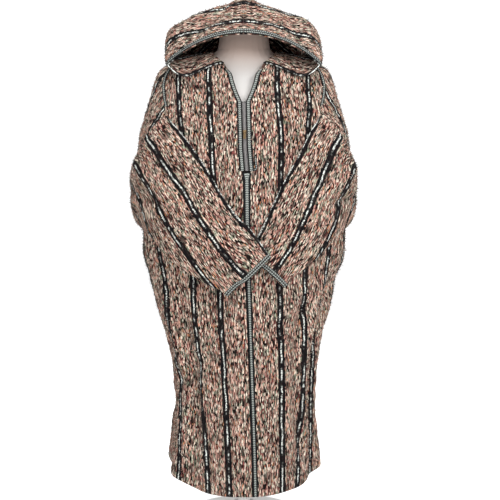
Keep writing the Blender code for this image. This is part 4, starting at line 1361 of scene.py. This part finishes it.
for side, name in SIDES:
    slit = fronts[side][rows_between(ZIP_FOOT, SLIT_BRAID_TOP)]
    shoulder = fronts[side][rows_between(*SHOULDER_BRAID_SPAN), ::-1]
    rim = hoods[side].transpose(1, 0, 2)[RIM_BRAID_FIRST:]
    cuff = sleeves[side][::-1].transpose(1, 0, 2)
    add_edge_braid("slit", name, slit, SLIT_BRAID_WIDTH, 3, SLIT_BRAID)
    add_edge_braid("shoulder", name, shoulder, SHOULDER_BRAID_WIDTH, 2, EDGE_BRAID)
    add_edge_braid("hood", name, rim, RIM_BRAID_WIDTH, 4, RIM_BRAID, REST_ON_FOLD)
    add_edge_braid("cuff", name, cuff, CUFF_BRAID_WIDTH, 3, CUFF_BRAID, REST_ON_FOLD, ring=True)
    print("four braids on the wearer's", name)

# %% [markdown]
# The closed centre seam is covered by one braid, read half from each front. It narrows below the
# cuffs, where the cloth is drawn in. At the foot of the slit the left braid turns back in a hook.

# %% Centre braid and hook
CENTRE_BRAID_HALVES = (0.0060, 0.0095)
CENTRE_BRAID_HEIGHTS = (0.60, 0.86)
CENTRE_BRAID_TOP = ZIP_FOOT - 0.006
CENTRE_SHARES = np.linspace(-1.0, 1.0, 17)
HOOK_NEAR = 0.0165
HOOK_RADIUS = 0.0055
HOOK_FOOT = 1.034
HOOK_HEAD = 1.066
HOOK_HALF = 0.0038


def centre_row(row):
    half = float(np.interp(ROWS[row], CENTRE_BRAID_HEIGHTS, CENTRE_BRAID_HALVES))
    right, left = (half * np.abs(CENTRE_SHARES[CENTRE_SHARES * side >= 0]) for side in (-1, 1))
    right, left = read_along(fronts[-1][row], right), read_along(fronts[1][row], left)
    return np.concatenate((right[:-1], left))


span = rows_between(HEM, CENTRE_BRAID_TOP)
seam_rows = np.array([centre_row(row) for row in range(span.start, span.stop)])
add_band("braid_centre", seam_rows, SEAM_BRAID, ["centre_braid"])


def on_front(side, distance, height):
    """A point of a front and its normal, at a distance from the centre edge."""
    row = int(np.clip(np.searchsorted(ROWS, height) - 1, 0, len(ROWS) - 2))
    share = (height - ROWS[row]) / (ROWS[row + 1] - ROWS[row])
    low, high = (read_along(fronts[side][k], np.array([distance]))[0] for k in (row, row + 1))
    return low * (1 - share) + high * share


def build_hook():
    """A short end of braid that curls round beside the placket."""
    path = [(HOOK_NEAR + HOOK_RADIUS, height) for height in np.linspace(HOOK_HEAD, HOOK_FOOT, 9)]
    for angle in np.radians(np.linspace(15, 150, 8)):
        path.append((HOOK_NEAR + HOOK_RADIUS * math.cos(angle), HOOK_FOOT - HOOK_RADIUS * math.sin(angle)))
    path = np.array(path)
    ways = unit(np.gradient(path, axis=0)) * HOOK_HALF
    shares = np.linspace(-1.0, 1.0, 9)
    rows = [[on_front(1, x + dz * s, z - dx * s) for s in shares] for (x, z), (dx, dz) in zip(path, ways)]
    add_band("braid_hook", np.array(rows), EDGE_BRAID, [])


build_hook()
print("rows of the centre braid:", len(seam_rows))

# %% [markdown]
# ## The zip
#
# Between the two braids is a metal zip: a woven tape at each edge with a row of small teeth that
# interlock below the slider. The teeth are copies of one tapered block, joined into one mesh. The
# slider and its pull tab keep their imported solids, which are exact, and get worn brass.

# %% Hard finishes
BRASS_STOPS = ((0.35, (0.085, 0.055, 0.030)), (0.62, (0.24, 0.165, 0.085)))
NICKEL_STOPS = ((0.3, (0.07, 0.067, 0.067)), (0.7, (0.27, 0.255, 0.25)))


def worn_material(name, metallic, roughness, grain, stops, rough, bump):
    """A hard finish whose tone, roughness and surface follow one fine grain."""
    material, start = new_material(name, roughness, metallic=metallic)
    wear = start.node("ShaderNodeTexCoord", {}, 3).noise(*grain)
    feed(start, wear.ramp(stops), wear, *bump, roughness=rough[0] + wear * rough[1])
    return material


def add_finish(node, material):
    data = frame["nodes"][node].data
    data.materials.clear()
    data.materials.append(material)
    return data


BRASS = worn_material("worn brass", 1.0, 0.38, (700.0, 4.0), BRASS_STOPS, (0.28, 0.3), (0.0001, 0.3))
NICKEL = worn_material("dull nickel", 0.55, 0.5, (900.0, 3.0), NICKEL_STOPS, (0.4, 0.3), (0.0001, 0.3))
for node in ("zip_slider", "pull_tab"):
    add_finish(node, BRASS)
    print("brass on", node)

# %% [markdown]
# The tapes are read from the fronts' edges, as the braids are. Every tooth could be an object of its
# own, but more than a hundred objects are slow to handle, so the blocks of a row share one mesh.

# %% Tapes, teeth and stop
TAPE = braid_material("zip tape", (0.5,), 2.0, between=CORD_BLACK)
TAPE_DEPTH = 0.0006
TOOTH_PITCH = 0.0026
TOOTH = (0.0062, 0.0016, 0.0014)
TOOTH_TAPER = 0.25
TOOTH_SHIFT = 0.22
TOOTH_RISE = 0.0009
STOP_SIZE = (0.0075, 0.0022, 0.0034)
STOP_RISE = 0.7
STOP_BEVEL = 0.0005


def build_tape(side, name):
    """The tape from the front's edge to the middle; gives back the line that its teeth sit on."""
    span = rows_between(ZIP_FOOT, ZIP_HEAD)
    edge, normal = fronts[side][span, :1, :3], fronts[side][span, :1, 3:]
    toward = fronts[-side][span, :1, :3] - edge
    wide = np.linalg.norm(toward, axis=-1)
    toward = toward / wide[..., None]
    line = edge + toward * np.linspace(SEAM, wide / 2 - SEAM / 2, 5, axis=1)
    outer = line - normal * TAPE_DEPTH
    lay = band_lay(outer, runs(outer[:, 0], 0))
    mesh = wall_mesh("zip_tape_" + name, outer, line - normal * CLOTH, lay)
    add_piece("zip_tape_" + name, mesh, TAPE, ["zip_" + name])
    return np.concatenate((outer[:, -1], -normal[:, 0], toward[:, 0]), axis=1)


def add_metal(name, shape):
    mesh = bpy.data.meshes.new(name)
    shape.to_mesh(mesh)
    shape.free()
    add_piece(name, mesh, NICKEL, [])


def build_teeth(side, name, lines):
    """Blocks along the tape's edge; the two rows are half a pitch apart, so they interlock."""
    shape = bmesh.new()
    start = TOOTH_PITCH * (0.5 if side > 0 else 1.0)
    for place in np.arange(start, run_along(lines)[-1] - TOOTH_PITCH, TOOTH_PITCH):
        spot, back, toward = read_along(lines, np.array([place]))[0].reshape(3, 3)
        along = np.cross(back, toward)
        for vertex in bmesh.ops.create_cube(shape, size=1.0)["verts"]:
            x, y, z = vertex.co
            narrow = 1.0 - TOOTH_TAPER * (x > 0)
            moved = spot + toward * (x - TOOTH_SHIFT) * TOOTH[0] - back * (y * TOOTH[1] + TOOTH_RISE)
            vertex.co = moved + along * z * TOOTH[2] * narrow
    print("faces of the teeth on the", name, len(shape.faces))
    add_metal("zip_teeth_" + name, shape)


def build_stop():
    """The metal clip that closes the foot of the zip."""
    middle = (on_front(1, 0.0, ZIP_FOOT) + on_front(-1, 0.0, ZIP_FOOT))[:3] / 2
    middle[2] += STOP_SIZE[2] * STOP_RISE
    shape = bmesh.new()
    bmesh.ops.create_cube(shape, size=1.0)
    for vertex in shape.verts:
        vertex.co = middle + np.array(STOP_SIZE) * vertex.co
    bmesh.ops.bevel(shape, geom=shape.edges[:], offset=STOP_BEVEL, segments=2, affect="EDGES")
    add_metal("zip_stop", shape)


for side, name in SIDES:
    build_teeth(side, name, build_tape(side, name))
build_stop()

# %% [markdown]
# ## The dress form and its stand
#
# The form's neck shows in the hood's opening. It is covered in pale stretch fabric, so its colour
# is soft and even with a very fine knit. Towards the top of the neck it is painted darker and
# warmer: painted shade under the hood and the hood's painted reflected light. The pole and base
# are steel with a white enamel.

# %% Form and stand finishes
JERSEY_STOPS = ((0.35, (0.47, 0.455, 0.44)), (0.65, (0.50, 0.485, 0.47)))
ENAMEL_STOPS = ((0.3, (0.84, 0.83, 0.81)), (0.7, (0.88, 0.87, 0.85)))
# Painted shade and painted reflected light from the hood: the darker, warmer colour that the top of the
# neck is mixed towards
HOOD_SHADE_ON_NECK = (0.34, 0.255, 0.215, 1.0)
HOOD_SHADE_HEIGHTS = (1.29, 1.40)


def form_material():
    jersey, start = new_material("form jersey", 0.85, sheen=0.15)
    place = start.node("ShaderNodeTexCoord", {}, 3)
    knit = start.node("ShaderNodeTexWave", {"Vector": place, "Scale": 320.0, "Distortion": 1.5}).channel(0)
    colour = place.noise(9.0, 2.0).ramp(JERSEY_STOPS)
    # The top of the neck is mixed towards painted shade and reflected light from the hood
    feed(start, colour.mixed(HOOD_SHADE_ON_NECK, place.axis(2).between(*HOOD_SHADE_HEIGHTS)), knit, 0.0003, 0.25)
    return jersey


JERSEY = form_material()
ENAMEL = worn_material("stand enamel", 0.0, 0.42, (60.0, 3.0), ENAMEL_STOPS, (0.34, 0.2), (0.0002, 0.2))
for node, finish in (("form_torso", JERSEY), ("form_pole", ENAMEL), ("form_base", ENAMEL)):
    add_finish(node, finish).shade_smooth()
    print(finish.name, "on", node)

# %% [markdown]

# %% [markdown]
# ## The floor
#
# A studio has a roll of white paper under and behind the model. Here a wide disc that glows a little
# meets white air, so no line shows between them.

# %% Floor
FLOOR_RADIUS = 40.0
FLOOR_GLOW = 0.66
FLOOR_WHITE = (0.93, 0.93, 0.93, 1.0)
WHITE = (1.0, 1.0, 1.0, 1.0)


def build_floor():
    bpy.ops.mesh.primitive_circle_add(vertices=96, radius=FLOOR_RADIUS, fill_type="NGON")
    floor = bpy.context.object
    floor.name = "studio_floor"
    paper, start = new_material("studio paper", 0.9)
    sockets = start.tree.nodes["Principled BSDF"].inputs
    sockets["Base Color"].default_value = FLOOR_WHITE
    sockets["Emission Color"].default_value = WHITE
    sockets["Emission Strength"].default_value = FLOOR_GLOW
    floor.data.materials.append(paper)


build_floor()
print("floor radius:", FLOOR_RADIUS)

# %% [markdown]
# ## Lights
#
# Large soft lights from the front, above and behind keep the shadows faint, as in a catalogue
# picture. The strongest stands on the viewer's right, where the photograph is brighter.

# %% Lights
CHEST = (0.0, 0.0, 0.85)
HEAD = (0.0, 0.0, 1.4)
LIGHTS = (
    ("key", (1.9, -2.6, 2.4), CHEST, (1.3, 1.3), 88),
    ("fill", (-1.3, -3.0, 1.6), CHEST, (1.5, 1.8), 28),
    ("top", (0.0, -0.9, 3.5), HEAD, (2.0, 2.0), 80),
    ("back", (-0.6, 3.2, 2.4), CHEST, (2.0, 2.0), 50),
)


def add_light(name, place, target, size, power):
    data = bpy.data.lights.new(name, "AREA")
    data.shape = "RECTANGLE"
    data.size, data.size_y = size
    data.energy = power
    light = bpy.data.objects.new(name, data)
    bpy.context.scene.collection.objects.link(light)
    x, y, z = np.subtract(target, place)
    tilt, turn = math.atan2(z, math.hypot(x, y)), math.atan2(y, x)
    light.location = place
    light.rotation_euler = (math.pi / 2 + tilt, 0.0, turn - math.pi / 2)


for light in LIGHTS:
    add_light(*light)
print("lights:", len(LIGHTS))

# %% [markdown]
# ## Air
#
# The background is white where the camera sees it and dimmer where it lights the cloth. A Light Path
# node tells the two apart.

# %% Air
AIR_LIGHT = 0.42
AIR_SEEN = 0.70


def build_air():
    world = bpy.data.worlds.new("studio air")
    world.use_nodes = True
    tree = world.node_tree
    colour, strength = tree.nodes["Background"].inputs[:2]
    seen = Field(tree, strength).node("ShaderNodeLightPath", {}, 0)
    colour.default_value = WHITE
    tree.links.new((AIR_LIGHT + seen * AIR_SEEN).socket, strength)
    bpy.context.scene.world = world


build_air()
bpy.context.scene.view_settings.view_transform = "Standard"
print("air as a light:", AIR_LIGHT)

# %% [markdown]
# ## Camera
#
# The photograph was taken straight on, at about chest height. The lens follows from how wide the
# picture is where the robe stands and how far away the camera is.

# %% Camera
VIEW_WIDTH = 1.5
CAMERA_AWAY = 2.2
CAMERA_PLACE = (0.018, -CAMERA_AWAY, 0.804)
SENSOR = 36.0
camera_data = bpy.data.cameras.new("camera")
camera_data.sensor_width = SENSOR
camera_data.lens = SENSOR * CAMERA_AWAY / VIEW_WIDTH
camera = bpy.data.objects.new("camera", camera_data)
camera.location = CAMERA_PLACE
camera.rotation_euler = (math.pi / 2, 0.0, 0.0)
bpy.context.scene.collection.objects.link(camera)
bpy.context.scene.camera = camera
print("lens:", round(camera_data.lens, 1), "mm")
